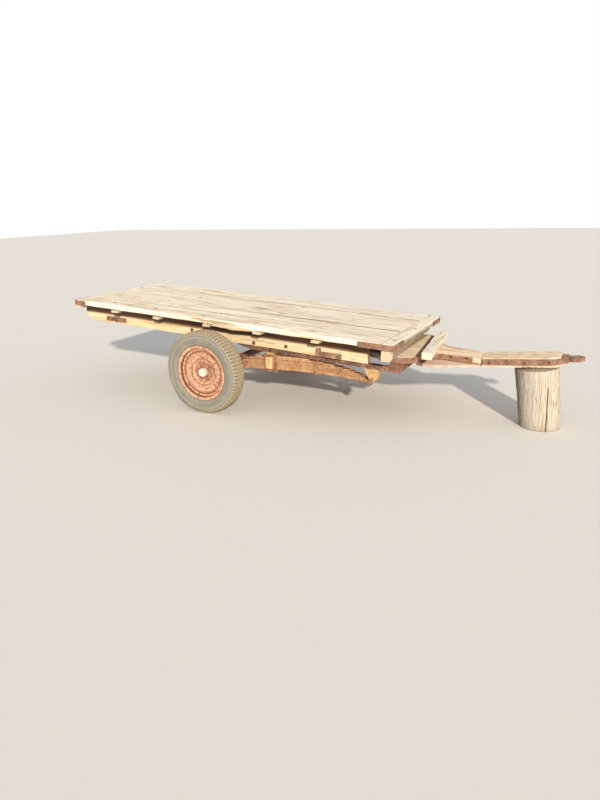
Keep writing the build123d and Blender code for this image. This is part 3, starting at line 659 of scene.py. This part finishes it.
def log_darkening(point):
    """Painted shade in the split and on the side away from the sun, and darker towards the foot.
    """
    out = point.co - log_middle
    out.z = 0
    # Painted shade along the split
    off_split = abs(out.cross(split_way).z) if out.dot(split_way) > 0 else 1.0
    split = 0.85 * exp(-((off_split / 0.005) ** 2)) if point.co.z < 0.32 else 0.0
    # Painted shade on the side that faces away from the sun
    shaded_side = 0.85 * max(0.0, out.normalized().dot(Vector((-0.992, -0.124, 0)))) ** 4
    foot = 0.25 * exp(-point.co.z / 0.03)
    return max(split, shaded_side, foot)


paint(log, "stain_and_shade", log_darkening)
finish(log, log_wood, stands_for=["log_stand"])

# Underframe, springs and irons
# Rolled steel members, spring packs bolted to them and flat irons screwed to the wood,
# all bare steel and cast iron that has rusted for years, each to a tone of its own.


def ring_tones(tree, centred, noise, waver, inner, outer, stops):
    """Tones in rings about a line across the wagon, from one radius out to another."""
    flat = add(
        tree, "ShaderNodeVectorMath", {0: centred, 1: (1, 0, 1)}, operation="MULTIPLY"
    )
    radius = add(
        tree, "ShaderNodeVectorMath", {0: flat.outputs["Vector"]}, operation="LENGTH"
    )
    wavering = add(
        tree,
        "ShaderNodeMath",
        {0: noise, 1: waver, 2: radius.outputs["Value"]},
        operation="MULTIPLY_ADD",
    )
    out = add(
        tree,
        "ShaderNodeMapRange",
        {"Value": wavering.outputs[0], "From Min": inner, "From Max": outer},
    )
    ramp = add(tree, "ShaderNodeValToRGB", {"Fac": out.outputs[0]}, stops=stops)
    return ramp.outputs["Color"]


def rusted_iron(name, tones, patch_mm=60, dust=0.0, rough=0.85, flecks=0.0, rings=()):
    """Bare iron rusted for years: tones are dark scale, deep rust, rust and pale bloom."""
    scale, deep, rust, bloom = tones
    material, tree = new_material(name)
    spot = add(tree, "ShaderNodeTexCoord").outputs["Object"]
    # Patches of rust; pits and grains, 4 mm; specks of lichen and of old cream paint, 8
    # to 15 mm; and flakes of 10 mm
    noises = {}
    for part, repeats, detail, coarse, warp in (
        ("patches", 1000 / patch_mm, 9.0, 0.68, 0.4),
        ("pits", 230.0, 4.0, 0.7, 0.0),
        ("specks", 75.0, 3.0, 0.75, 0.0),
    ):
        fine = {"Detail": detail, "Roughness": coarse, "Distortion": warp}
        noise = add(tree, "ShaderNodeTexNoise", {"Vector": spot, "Scale": repeats, **fine})
        noises[part] = noise.outputs["Fac"]
    flakes = add(tree, "ShaderNodeTexVoronoi", {"Vector": spot, "Scale": 95.0})
    # What is read off each noise, between two of its levels
    shares = {}
    for part, source, low, high, at_low, at_high in (
        ("pit_tone", "pits", 0.32, 0.68, 0.66, 1.28),
        ("settled", "patches", 0.45, 0.75, dust * 0.4, dust),
        ("pale", "specks", 0.56, 0.66, 0.0, flecks),
        ("dark", "specks", 0.44, 0.34, 0.0, flecks),
        ("roughness", "pits", 0.3, 0.7, rough - 0.12, rough + 0.1),
    ):
        levels = {"Value": noises[source], "From Min": low, "From Max": high}
        share = add(
            tree, "ShaderNodeMapRange", {**levels, "To Min": at_low, "To Max": at_high}
        )
        shares[part] = share.outputs[0]
    ground = add(
        tree,
        "ShaderNodeValToRGB",
        {"Fac": noises["patches"]},
        stops=[(0.30, scale), (0.44, deep), (0.56, rust), (0.72, bloom)],
    )
    pitted = add(
        tree,
        "ShaderNodeVectorMath",
        {0: ground.outputs["Color"], 3: shares["pit_tone"]},
        operation="SCALE",
    )
    # Dust, cream specks and dark ones
    colour = pitted.outputs["Vector"]
    for part, code in (("settled", "#D2B994"), ("pale", "#EAD3A4"), ("dark", scale)):
        coat = add(
            tree,
            "ShaderNodeMix",
            {0: shares[part], 6: colour, 7: srgb(code)},
            data_type="RGBA",
        )
        colour = coat.outputs[2]
    if rings:
        # Rust and dirt in rings, their edges wavering by a share of the rings' width
        centre, inner, outer, stops = rings
        wide = outer - inner
        centred = add(tree, "ShaderNodeMapping", {"Vector": spot, "Location": centre})
        ringed = ring_tones(
            tree,
            centred.outputs["Vector"],
            noises["patches"],
            wide / 36,
            inner + wide / 72,
            outer + wide / 72,
            stops,
        )
        tinted = add(
            tree,
            "ShaderNodeMix",
            {0: 1.0, 6: colour, 7: ringed},
            data_type="RGBA",
            blend_type="MULTIPLY",
        )
        colour = tinted.outputs[2]
    height = add(
        tree,
        "ShaderNodeMath",
        {0: flakes.outputs["Distance"], 1: 0.5, 2: noises["pits"]},
        operation="MULTIPLY_ADD",
    )
    finish_surface(tree, colour, shares["roughness"], height.outputs[0], 0.0016)
    return material


def dress(material, *names):
    """Give CAD nodes a material."""
    for name in names:
        mesh = nodes[name].data
        mesh.materials.clear()
        mesh.materials.append(material)


# Rolled steel, an even brown under a little dust
underframe_rust = rusted_iron(
    "underframe_rust", ("#472A20", "#76503F", "#90654F", "#B08A6E"), dust=0.12, flecks=0.3
)
dress(underframe_rust, "chassis_cross_front", "chassis_cross_middle", "axle")
# The side members have a darker copy of the rust, as painted shade under the rails
member_rust_shaded = rusted_iron(
    "member_rust_shaded", ("#382018", "#624032", "#7A5341", "#A07A60"), dust=0.1, flecks=0.3
)
# Spring steel, a paler orange. Its leaves, 9 mm each, are bent to a radius of 6.3 m
# inside the pack and 6.408 m outside it, with dirt between them.
leaf_count, pack_inside, pack_outside = 12, 6.3, 6.408
leaf_stops = []
for leaf in range(leaf_count):
    leaf_stops.append(((leaf + 0.08) / leaf_count, "#B4A294" if leaf % 3 else "#7C665A"))
    leaf_stops.append(((leaf + 0.55) / leaf_count, "#FFFDFA" if leaf % 4 else "#F0DCCB"))
spring_rust = rusted_iron(
    "spring_rust",
    ("#7E4E3A", "#C9966F", "#E4B68C", "#F6D8B0"),
    patch_mm=70,
    dust=0.2,
    flecks=0.6,
    rings=(
        (-axle_x - 0.68, 0, pack_inside - 0.319), pack_inside, pack_outside, leaf_stops,
    ),
)
# Cast iron, with an ochre bloom in small patches
cast_rust = rusted_iron(
    "cast_rust",
    ("#8A5C3C", "#BC8C5A", "#D6AC74", "#EECC98"),
    patch_mm=50,
    dust=0.2,
    flecks=0.5,
)
# Forged clamps and U-bolts, a darker brown in small patches
clamp_rust = rusted_iron(
    "clamp_rust", ("#4A2C1E", "#80563C", "#A87C58", "#CCA47C"), patch_mm=40, flecks=0.3
)
# Flat mild steel, a dull pinkish brown
strap_rust = rusted_iron(
    "strap_rust", ("#5E3C30", "#845E4E", "#9C7461", "#B8957F"), dust=0.12, flecks=0.2
)
for side in ("left", "right"):
    dress(member_rust_shaded, f"chassis_member_{side}")
    dress(spring_rust, f"leaf_spring_{side}")
    dress(cast_rust, f"spring_hanger_{side}", f"spring_saddle_{side}")
    dress(underframe_rust, f"spring_shackle_{side}", f"axle_clamp_{side}")
    dress(clamp_rust, f"spring_clamp_{side}")
    dress(strap_rust, f"drawbar_strap_{side}")
dress(strap_rust, "drawbar_nose_iron", "towing_eye", "corner_irons", "rail_irons")

# Tyres
# Cross-ply rubber tyres with ribs and short shoulder lugs, perished and grey, with
# clay dust on the tread and in the moulded rings of the sidewall.
track_half = 0.736
spin_steps = 216
# Profiles are millimetres out from the wheel's middle, and millimetres of radius
tyre_outside = [
    (59, 199), (59, 214), (61.5, 219), (65.2, 222.6), (67.6, 226), (67.2, 229),
    (68.8, 233), (70.8, 238), (72.4, 240.4), (72.2, 243), (73.6, 249), (74.4, 253),
    (75.9, 256), (75.9, 259), (74.9, 261), (75.0, 268), (74.6, 277), (73.9, 284),
    (74.6, 286), (74.3, 288.6), (72.9, 291), (71.6, 296), (71.9, 299), (71.0, 301.6),
    (69.0, 304), (67.4, 307), (65.6, 313), (63.4, 318), (60.8, 321), (58.0, 322.2),
    (52.0, 323.0), (46.0, 323.8), (44.6, 318.2), (39.4, 318.6), (38.0, 324.8),
    (30.0, 325.6), (22.4, 326.2), (21.0, 320.4), (15.6, 320.8), (14.2, 326.9),
    (7.0, 327.2),
]
tyre_inside = [
    (24, 314), (42, 311), (54, 304), (62, 288), (64.4, 268), (62, 248), (56, 226),
    (49, 208), (47, 199),
]


def mirrored(half):
    """A half profile's mirror image, in the order that carries the outline on."""
    return [(-width, radius) for width, radius in reversed(half)]


def turned(name, side, profile, steps, closed=True):
    """A shape spun about a wheel's axle from its profile, a ring where it is closed."""
    out = 1 if side == "left" else -1
    middle = Vector((axle_x, out * track_half, axle_z))
    bpy.ops.object.select_all(action="DESELECT")
    bpy.ops.mesh.primitive_plane_add(size=0.01)
    piece = bpy.context.object
    piece.name = name
    bpy.ops.object.mode_set(mode="EDIT")
    bpy.ops.mesh.select_mode(type="VERT")
    bpy.ops.mesh.merge(type="CENTER")
    at = Vector((0, 0, 0))
    for step, (width, radius) in enumerate(profile):
        place = middle + Vector((0, out * width / 1000, radius / 1000))
        if step:
            bpy.ops.mesh.extrude_region_move(TRANSFORM_OT_translate={"value": place - at})
        else:
            bpy.ops.transform.translate(value=place)
        at = place
    if closed:
        bpy.ops.object.mode_set(mode="OBJECT")
        piece.data.vertices[0].select = True
        bpy.ops.object.mode_set(mode="EDIT")
        bpy.ops.mesh.edge_face_add()
    bpy.ops.mesh.select_all(action="SELECT")
    bpy.ops.mesh.spin(steps=steps, angle=2 * pi, center=middle, axis=(0, 1, 0))
    bpy.ops.mesh.select_all(action="SELECT")
    bpy.ops.mesh.remove_doubles(threshold=0.00001)
    bpy.ops.mesh.normals_make_consistent(inside=False)
    bpy.ops.object.mode_set(mode="OBJECT")
    bpy.ops.object.shade_smooth_by_angle(angle=radians(35))
    return piece


def dusty_rubber(name, middle):
    """Perished rubber: grey, with pale moulded rings, clay dust on the tread and painted shade
    in the grooves.
    """
    material, tree = new_material(name)
    place = add(tree, "ShaderNodeTexCoord").outputs["Object"]
    centred = add(
        tree, "ShaderNodeMapping", {"Vector": place, "Location": tuple(-middle)}
    )
    spot = centred.outputs["Vector"]
    # Blotches of clay, a hand across, and the rubber's grain, 3 mm
    noises = {}
    for part, repeats, detail, coarse in (
        ("blotches", 13.0, 8.0, 0.72),
        ("grain", 300.0, 3.0, 0.7),
    ):
        noise = add(
            tree,
            "ShaderNodeTexNoise",
            {"Vector": spot, "Scale": repeats, "Detail": detail, "Roughness": coarse},
        )
        noises[part] = noise.outputs["Fac"]
    # Dust from the rim at 216 mm out to the tread at 327 mm
    rings = ring_tones(
        tree,
        spot,
        noises["blotches"],
        0.016,
        0.214,
        0.336,
        [
            (0.00, "#5E5446"),
            (0.08, "#9C9283"),
            (0.15, "#787770"),
            (0.25, "#989183"),
            (0.32, "#7E8079"),
            (0.58, "#868780"),
            (0.65, "#A89E8B"),
            (0.71, "#7C7A70"),
            (0.80, "#9E9380"),
            (0.93, "#B3A285"),
        ],
    )
    # What is read off each noise, between two of its levels
    shares = {}
    for part, source, low, high, at_low, at_high in (
        ("clay", "blotches", 0.48, 0.62, 0.0, 0.6),
        ("grain_tone", "grain", 0.3, 0.7, 0.76, 1.2),
        ("roughness", "blotches", 0.3, 0.7, 0.72, 0.95),
    ):
        levels = {"Value": noises[source], "From Min": low, "From Max": high}
        share = add(
            tree, "ShaderNodeMapRange", {**levels, "To Min": at_low, "To Max": at_high}
        )
        shares[part] = share.outputs[0]
    muddied = add(
        tree,
        "ShaderNodeMix",
        {0: shares["clay"], 6: rings, 7: srgb("#A6977E")},
        data_type="RGBA",
    )
    grained = add(
        tree,
        "ShaderNodeVectorMath",
        {0: muddied.outputs[2], 3: shares["grain_tone"]},
        operation="SCALE",
    )
    # Painted shade at the bottom of the grooves, read from the mesh
    groove = add(tree, "ShaderNodeAttribute", attribute_name="groove").outputs["Fac"]
    grooved = add(
        tree,
        "ShaderNodeMix",
        {0: groove, 6: grained.outputs["Vector"], 7: srgb("#4A4338")},
        data_type="RGBA",
    )
    finish_surface(tree, grooved.outputs[2], shares["roughness"], noises["grain"], 0.0012)
    return material


tyre_loop = (
    tyre_outside
    + mirrored(tyre_outside)
    + [(-width, radius) for width, radius in reversed(tyre_inside)]
    + tyre_inside
)
# Millimetres out from the middle and of radius: where the shoulder's lugs start and how deep the
# gaps between them are, the grooves' floors, and where the painted shade on the lugs' sides
# starts
lug_side, lug_foot, gap_depth = 46, 308.5, 5.5
groove_side, groove_floor, groove_top = 45, 317, 322
lug_shade = 314
for side in ("left", "right"):
    middle = Vector((axle_x, track_half if side == "left" else -track_half, axle_z))
    tyre = turned(f"rubber_tyre_{side}", side, tyre_loop, spin_steps)

    def lug_gap(spot):
        """Every third face of the tread's shoulder, staggered from side to side."""
        x, y, z = (spot - middle) * 1000
        step = int((atan2(z, x) % (2 * pi)) / (2 * pi) * spin_steps)
        on_shoulder = abs(y) > lug_side and hypot(x, z) > lug_foot
        return on_shoulder and (step + (y > 0)) % 3 == 0

    pick_faces(tyre, lug_gap)
    bpy.ops.mesh.extrude_region_shrink_fatten(
        TRANSFORM_OT_shrink_fatten={"value": -gap_depth / 1000}
    )
    bpy.ops.object.mode_set(mode="OBJECT")

    def groove_depth(point):
        """Painted shade at the bottom of the lugs' gaps and of the grooves between the ribs, and
        on the lugs' sides.
        """
        x, y, z = (point.co - middle) * 1000
        in_groove = abs(y) < groove_side and groove_floor < hypot(x, z) < groove_top
        if point.select or in_groove:
            return 0.6
        step = round((atan2(z, x) % (2 * pi)) / (2 * pi) * spin_steps)
        return 0.4 if hypot(x, z) > lug_shade and step % 3 == 0 else 0.0

    paint(tyre, "groove", groove_depth)
    rubber = dusty_rubber(f"perished_rubber_{side}", middle)
    finish(tyre, rubber, f"wheel_{side}", [f"tyre_{side}"])

# Rims and discs
# A rolled steel rim with a drop centre, and a pressed disc welded inside it, its
# paint gone to rust in rings and specks.
rim_half = [
    (19, 174), (25, 194), (29, 197.4), (33, 198), (57, 198), (60.4, 199.4), (61.2, 203),
    (61.4, 210), (62.2, 214.6), (63.6, 216), (64.7, 215), (65, 212), (65, 203),
    (64.4, 198.6), (62.6, 195.2), (59, 194), (34, 194), (30.6, 193), (28.6, 190),
    (22.6, 170.4),
]
disc_front = [
    (22, 38), (22, 76), (24, 81), (28, 87), (32, 92.5), (33.4, 96), (32.6, 100),
    (33.4, 105), (36, 112), (40.5, 124), (43.2, 136), (44, 147), (43.6, 158),
    (41.6, 167), (38.6, 173), (36.6, 177.5), (37.4, 181), (40.4, 184.6), (41.4, 188),
    (40.2, 191.6), (38, 195.5),
]
disc_thickness = 5
rim_steps = 144
# Six holes of 12 mm in a circle. The first is 34 degrees up from the front on the near
# wheel, and as far down on the other.
hole_count, hole_radius, hole_circle, first_hole = 6, 0.006, 0.154, 34
rim_paint = rusted_iron(
    "rim_rust",
    ("#84503E", "#C69277", "#E3B9A0", "#F7DDC4"),
    patch_mm=26,
    flecks=0.95,
    rings=(
        (-axle_x, 0, -axle_z),
        0.0,
        0.22,
        [
            (0.18, "#B8A8A0"),
            (0.34, "#C8B8B0"),
            (0.42, "#FFF8EC"),
            (0.47, "#C4B0A6"),
            (0.54, "#F4ECE4"),
            (0.69, "#F8F0E8"),
            (0.78, "#A48E82"),
            (0.825, "#FFFCF4"),
            (0.868, "#F0E0D4"),
            (0.884, "#846C60"),
            (0.90, "#FFF0E2"),
            (0.98, "#FFF4E6"),
        ],
    ),
)
for side in ("left", "right"):
    out = 1 if side == "left" else -1
    barrel = turned(f"rim_barrel_{side}", side, rim_half + mirrored(rim_half), rim_steps)
    finish(barrel, rim_paint, f"wheel_{side}", [f"wheel_rim_{side}"])
    disc_back = [(width - disc_thickness, radius) for width, radius in reversed(disc_front)]
    disc = turned(f"wheel_disc_{side}", side, disc_front + disc_back, rim_steps)
    bpy.ops.object.select_all(action="DESELECT")
    for number in range(hole_count):
        angle = radians(first_hole + 360 / hole_count * number) * -out
        bpy.ops.mesh.primitive_cylinder_add(
            vertices=20,
            radius=hole_radius,
            depth=0.06,
            location=(
                axle_x + hole_circle * cos(angle),
                out * (track_half + 0.04),
                axle_z + hole_circle * sin(angle),
            ),
            rotation=(pi / 2, 0, 0),
        )
        drill = bpy.context.object
        shape(disc, "BOOLEAN", operation="DIFFERENCE", solver="EXACT", object=drill)
        bpy.data.objects.remove(drill)
    finish(disc, rim_paint, f"wheel_{side}", [f"wheel_rim_{side}"])

# Hub caps
# A pressed cap, painted cream and hardly worn, over each hub's bearing. The hub itself
# is a rusted casting with studs and nuts.
cap_front = [
    (22, 0), (22, 33.6), (44, 33), (48.5, 32), (51, 30), (52, 27), (51.6, 24.5),
    (51.6, 9), (52.4, 6), (52.6, 0),
]
cap_paint = rusted_iron(
    "cream_hub_enamel",
    ("#8F7F68", "#E0D6C4", "#EAE2D2", "#F2ECE0"),
    patch_mm=25,
    rough=0.5,
    flecks=0.15,
)
hub_paint = rusted_iron(
    "hub_rust", ("#6E4032", "#A87458", "#C29678", "#D8B894"), patch_mm=30, flecks=0.5
)
for side in ("left", "right"):
    dress(hub_paint, f"wheel_hub_{side}")
    cap = turned(f"hub_cap_{side}", side, cap_front, 48, closed=False)
    finish(cap, cap_paint, f"wheel_{side}")

# Nails, screws and bolts
# Round nail heads in the deck, screws in the irons, and six-sided bolt heads on the
# rails and the drawbar, of mild steel, driven or screwed in and mostly rusted dark.
nail_rust = rusted_iron("nail_rust", ("#2E1C14", "#4E3022", "#6A4430", "#8A6248"), patch_mm=9)
# Nails whose rust has washed out to the planks' grey
grey_nail = rusted_iron(
    "weathered_nail", ("#8E7C66", "#A8957A", "#BCA88C", "#D2C0A4"), patch_mm=9
)
bolt_rust = rusted_iron(
    "bolt_rust", ("#3A2418", "#5E4030", "#7C5A42", "#A88464"), patch_mm=12, flecks=0.3
)
# Washers gone a greenish brown in the damp
old_green = rusted_iron(
    "greened_bolt", ("#2C2A1E", "#514C36", "#746C4C", "#A39470"), patch_mm=10, flecks=0.3
)


def heads(name, material, radius, height, sides, places):
    """Heads at places in the deck's frame, each with the way it faces, as one piece."""
    bpy.ops.object.select_all(action="DESELECT")
    bpy.ops.mesh.primitive_cylinder_add(
        vertices=sides, radius=radius, depth=height, location=(0, 0, height / 2)
    )
    model = bpy.context.object
    pick_faces(model, lambda spot: spot.z > height * 0.9)
    bpy.ops.mesh.inset(thickness=radius * 0.3, depth=height * 0.25)
    bpy.ops.mesh.inset(thickness=radius * 0.3, depth=height * 0.12)
    bpy.ops.object.mode_set(mode="OBJECT")
    settle(model, Matrix())
    copies = []
    for place, facing in places:
        turn = Vector((0, 0, 1)).rotation_difference(Vector(facing)).to_matrix().to_4x4()
        copy = bpy.data.objects.new(name, model.data.copy())
        bpy.context.scene.collection.objects.link(copy)
        copy.matrix_world = deck_frame @ Matrix.Translation(place) @ turn
        copies.append(copy)
    bpy.data.objects.remove(model)
    alone(copies[0])
    for copy in copies:
        copy.select_set(True)
    bpy.ops.object.join()
    bpy.ops.object.transform_apply(location=True, rotation=True, scale=True)
    finish(copies[0], material)


up = (0, 0, 1)
heads(
    "deck_nails", grey_nail, 0.0050, 0.004, 10,
    [((along, across, -0.0034), up) for along, across in nail_places],
)
heads(
    "rusty_nails", nail_rust, 0.0066, 0.004, 10,
    [((along, across, -0.0028), up) for along, across in rusty_nails],
)
heads(
    "footboard_nails", nail_rust, 0.006, 0.004, 10,
    [((1.617, 0.013, -0.078), up), ((1.652, -0.28, -0.078), up), ((1.583, 0.3, -0.078), up)],
)
iron_middle = -0.0265
corner_screws = [
    ((along, hand * 0.605, iron_middle), (0, hand, 0))
    for along in (1.272, 1.428, -1.372, -1.452)
    for hand in (-1, 1)
]
corner_screws += [
    ((1.499, hand * across, iron_middle), (1, 0, 0))
    for across in (0.41, 0.55)
    for hand in (-1, 1)
]
heads("corner_screws", bolt_rust, 0.007, 0.0026, 12, corner_screws)
rail_bolt_places = [
    ((along, hand * 0.47, up_deck), (0, hand, 0))
    for along, up_deck in ((-0.299, -0.15), (0.301, -0.178), (0.591, -0.165))
    for hand in (-1, 1)
]
heads("rail_washers", old_green, 0.0145, 0.002, 20, rail_bolt_places)
heads("rail_bolts", nail_rust, 0.009, 0.009, 6, rail_bolt_places)
heads(
    "iron_bolts", bolt_rust, 0.009, 0.006, 6,
    [
        ((along, hand * 0.476, up_deck), (0, hand, 0))
        for along, up_deck in ((-1.20, -0.16), (-1.04, -0.16), (0.885, -0.18), (1.03, -0.18))
        for hand in (-1, 1)
    ],
)
heads(
    "drawbar_bolts", nail_rust, 0.0085, 0.005, 6,
    [
        ((along, hand * across, up_deck), (0, hand, 0))
        for along, across, up_deck in (
            (1.785, 0.123, -0.148),
            (1.898, 0.1165, -0.144),
            (2.061, 0.123, -0.15),
            (2.301, 0.123, -0.117),
            (2.459, 0.123, -0.088),
        )
        for hand in (-1, 1)
    ],
)

# Spring plates, hooks and tabs
# Pressed side plates between each spring's U-bolts, a round-iron hook under each rear
# rail iron, and the turned-up tab at the back of each front one, all forged mild steel.
# The plates have a pale ochre bloom
plate_paint = rusted_iron(
    "pale_plate", ("#A8845C", "#D2B084", "#E6C89C", "#F2DCB4"), patch_mm=40, flecks=0.4
)


def plate(name, size, place, material, body_frame):
    """A small forged plate: rounded edges and a face dished by the hammer."""
    length, thickness, height = size
    bpy.ops.object.select_all(action="DESELECT")
    bpy.ops.mesh.primitive_cube_add(size=1, location=(0, 0, 0))
    made = bpy.context.object
    made.name = name
    settle(made, Matrix.Diagonal((*size, 1)))
    shape(made, "BEVEL", width=thickness * 0.3, segments=2)
    pick_faces(made, lambda spot: abs(abs(spot.y) - thickness / 2) < 1e-5)
    bpy.ops.mesh.inset(thickness=min(length, height) * 0.14, depth=-thickness * 0.2)
    bpy.ops.object.mode_set(mode="OBJECT")
    settle(made, body_frame @ Matrix.Translation(place))
    bpy.ops.object.shade_smooth_by_angle(angle=radians(35))
    finish(made, material)


spring_frame = Matrix.Translation((axle_x, 0, 0)) @ Matrix.Rotation(-0.04, 4, "Y")
for side, hand in (("left", 1), ("right", -1)):
    plate(
        f"spring_plate_{side}", (0.062, 0.005, 0.104), (0.4255, hand * 0.4508, 0.3515),
        plate_paint, spring_frame,
    )
    plate(
        f"iron_tab_{side}", (0.042, 0.005, 0.036), (0.871, hand * 0.4728, -0.152),
        strap_rust, deck_frame,
    )
    # A half ring, 26 mm in radius, of 13 mm round iron
    bpy.ops.object.select_all(action="DESELECT")
    bpy.ops.mesh.primitive_circle_add(
        vertices=10, radius=0.0065, fill_type="NGON", location=(0, 0, 0)
    )
    hook = bpy.context.object
    hook.name = f"rail_hook_{side}"
    settle(hook, Matrix.Translation((0.026, 0, 0)))
    bpy.ops.object.mode_set(mode="EDIT")
    bpy.ops.mesh.select_all(action="SELECT")
    bpy.ops.mesh.duplicate()
    bpy.ops.mesh.spin(steps=16, angle=pi, center=(0, 0, 0), axis=(0, 1, 0))
    bpy.ops.mesh.select_all(action="SELECT")
    bpy.ops.mesh.remove_doubles(threshold=0.00005)
    bpy.ops.mesh.normals_make_consistent(inside=False)
    bpy.ops.object.mode_set(mode="OBJECT")
    settle(hook, deck_frame @ Matrix.Translation((-1.14, hand * 0.4825, -0.176)))
    bpy.ops.object.shade_smooth_by_angle(angle=radians(50))
    finish(hook, bolt_rust)

# Floor
# A plain pale floor that the wagon stands on.
bpy.ops.object.select_all(action="DESELECT")
bpy.ops.mesh.primitive_plane_add(size=60, location=(0, 0, 0))
floor = bpy.context.object
floor.name = "floor"
floor_paint, floor_tree = new_material("pale_floor")
shader = add(
    floor_tree,
    "ShaderNodeBsdfPrincipled",
    {"Base Color": srgb("#E9E6E0"), "Roughness": 0.9},
)
add(floor_tree, "ShaderNodeOutputMaterial", {"Surface": shader.outputs["BSDF"]})
floor.data.materials.append(floor_paint)
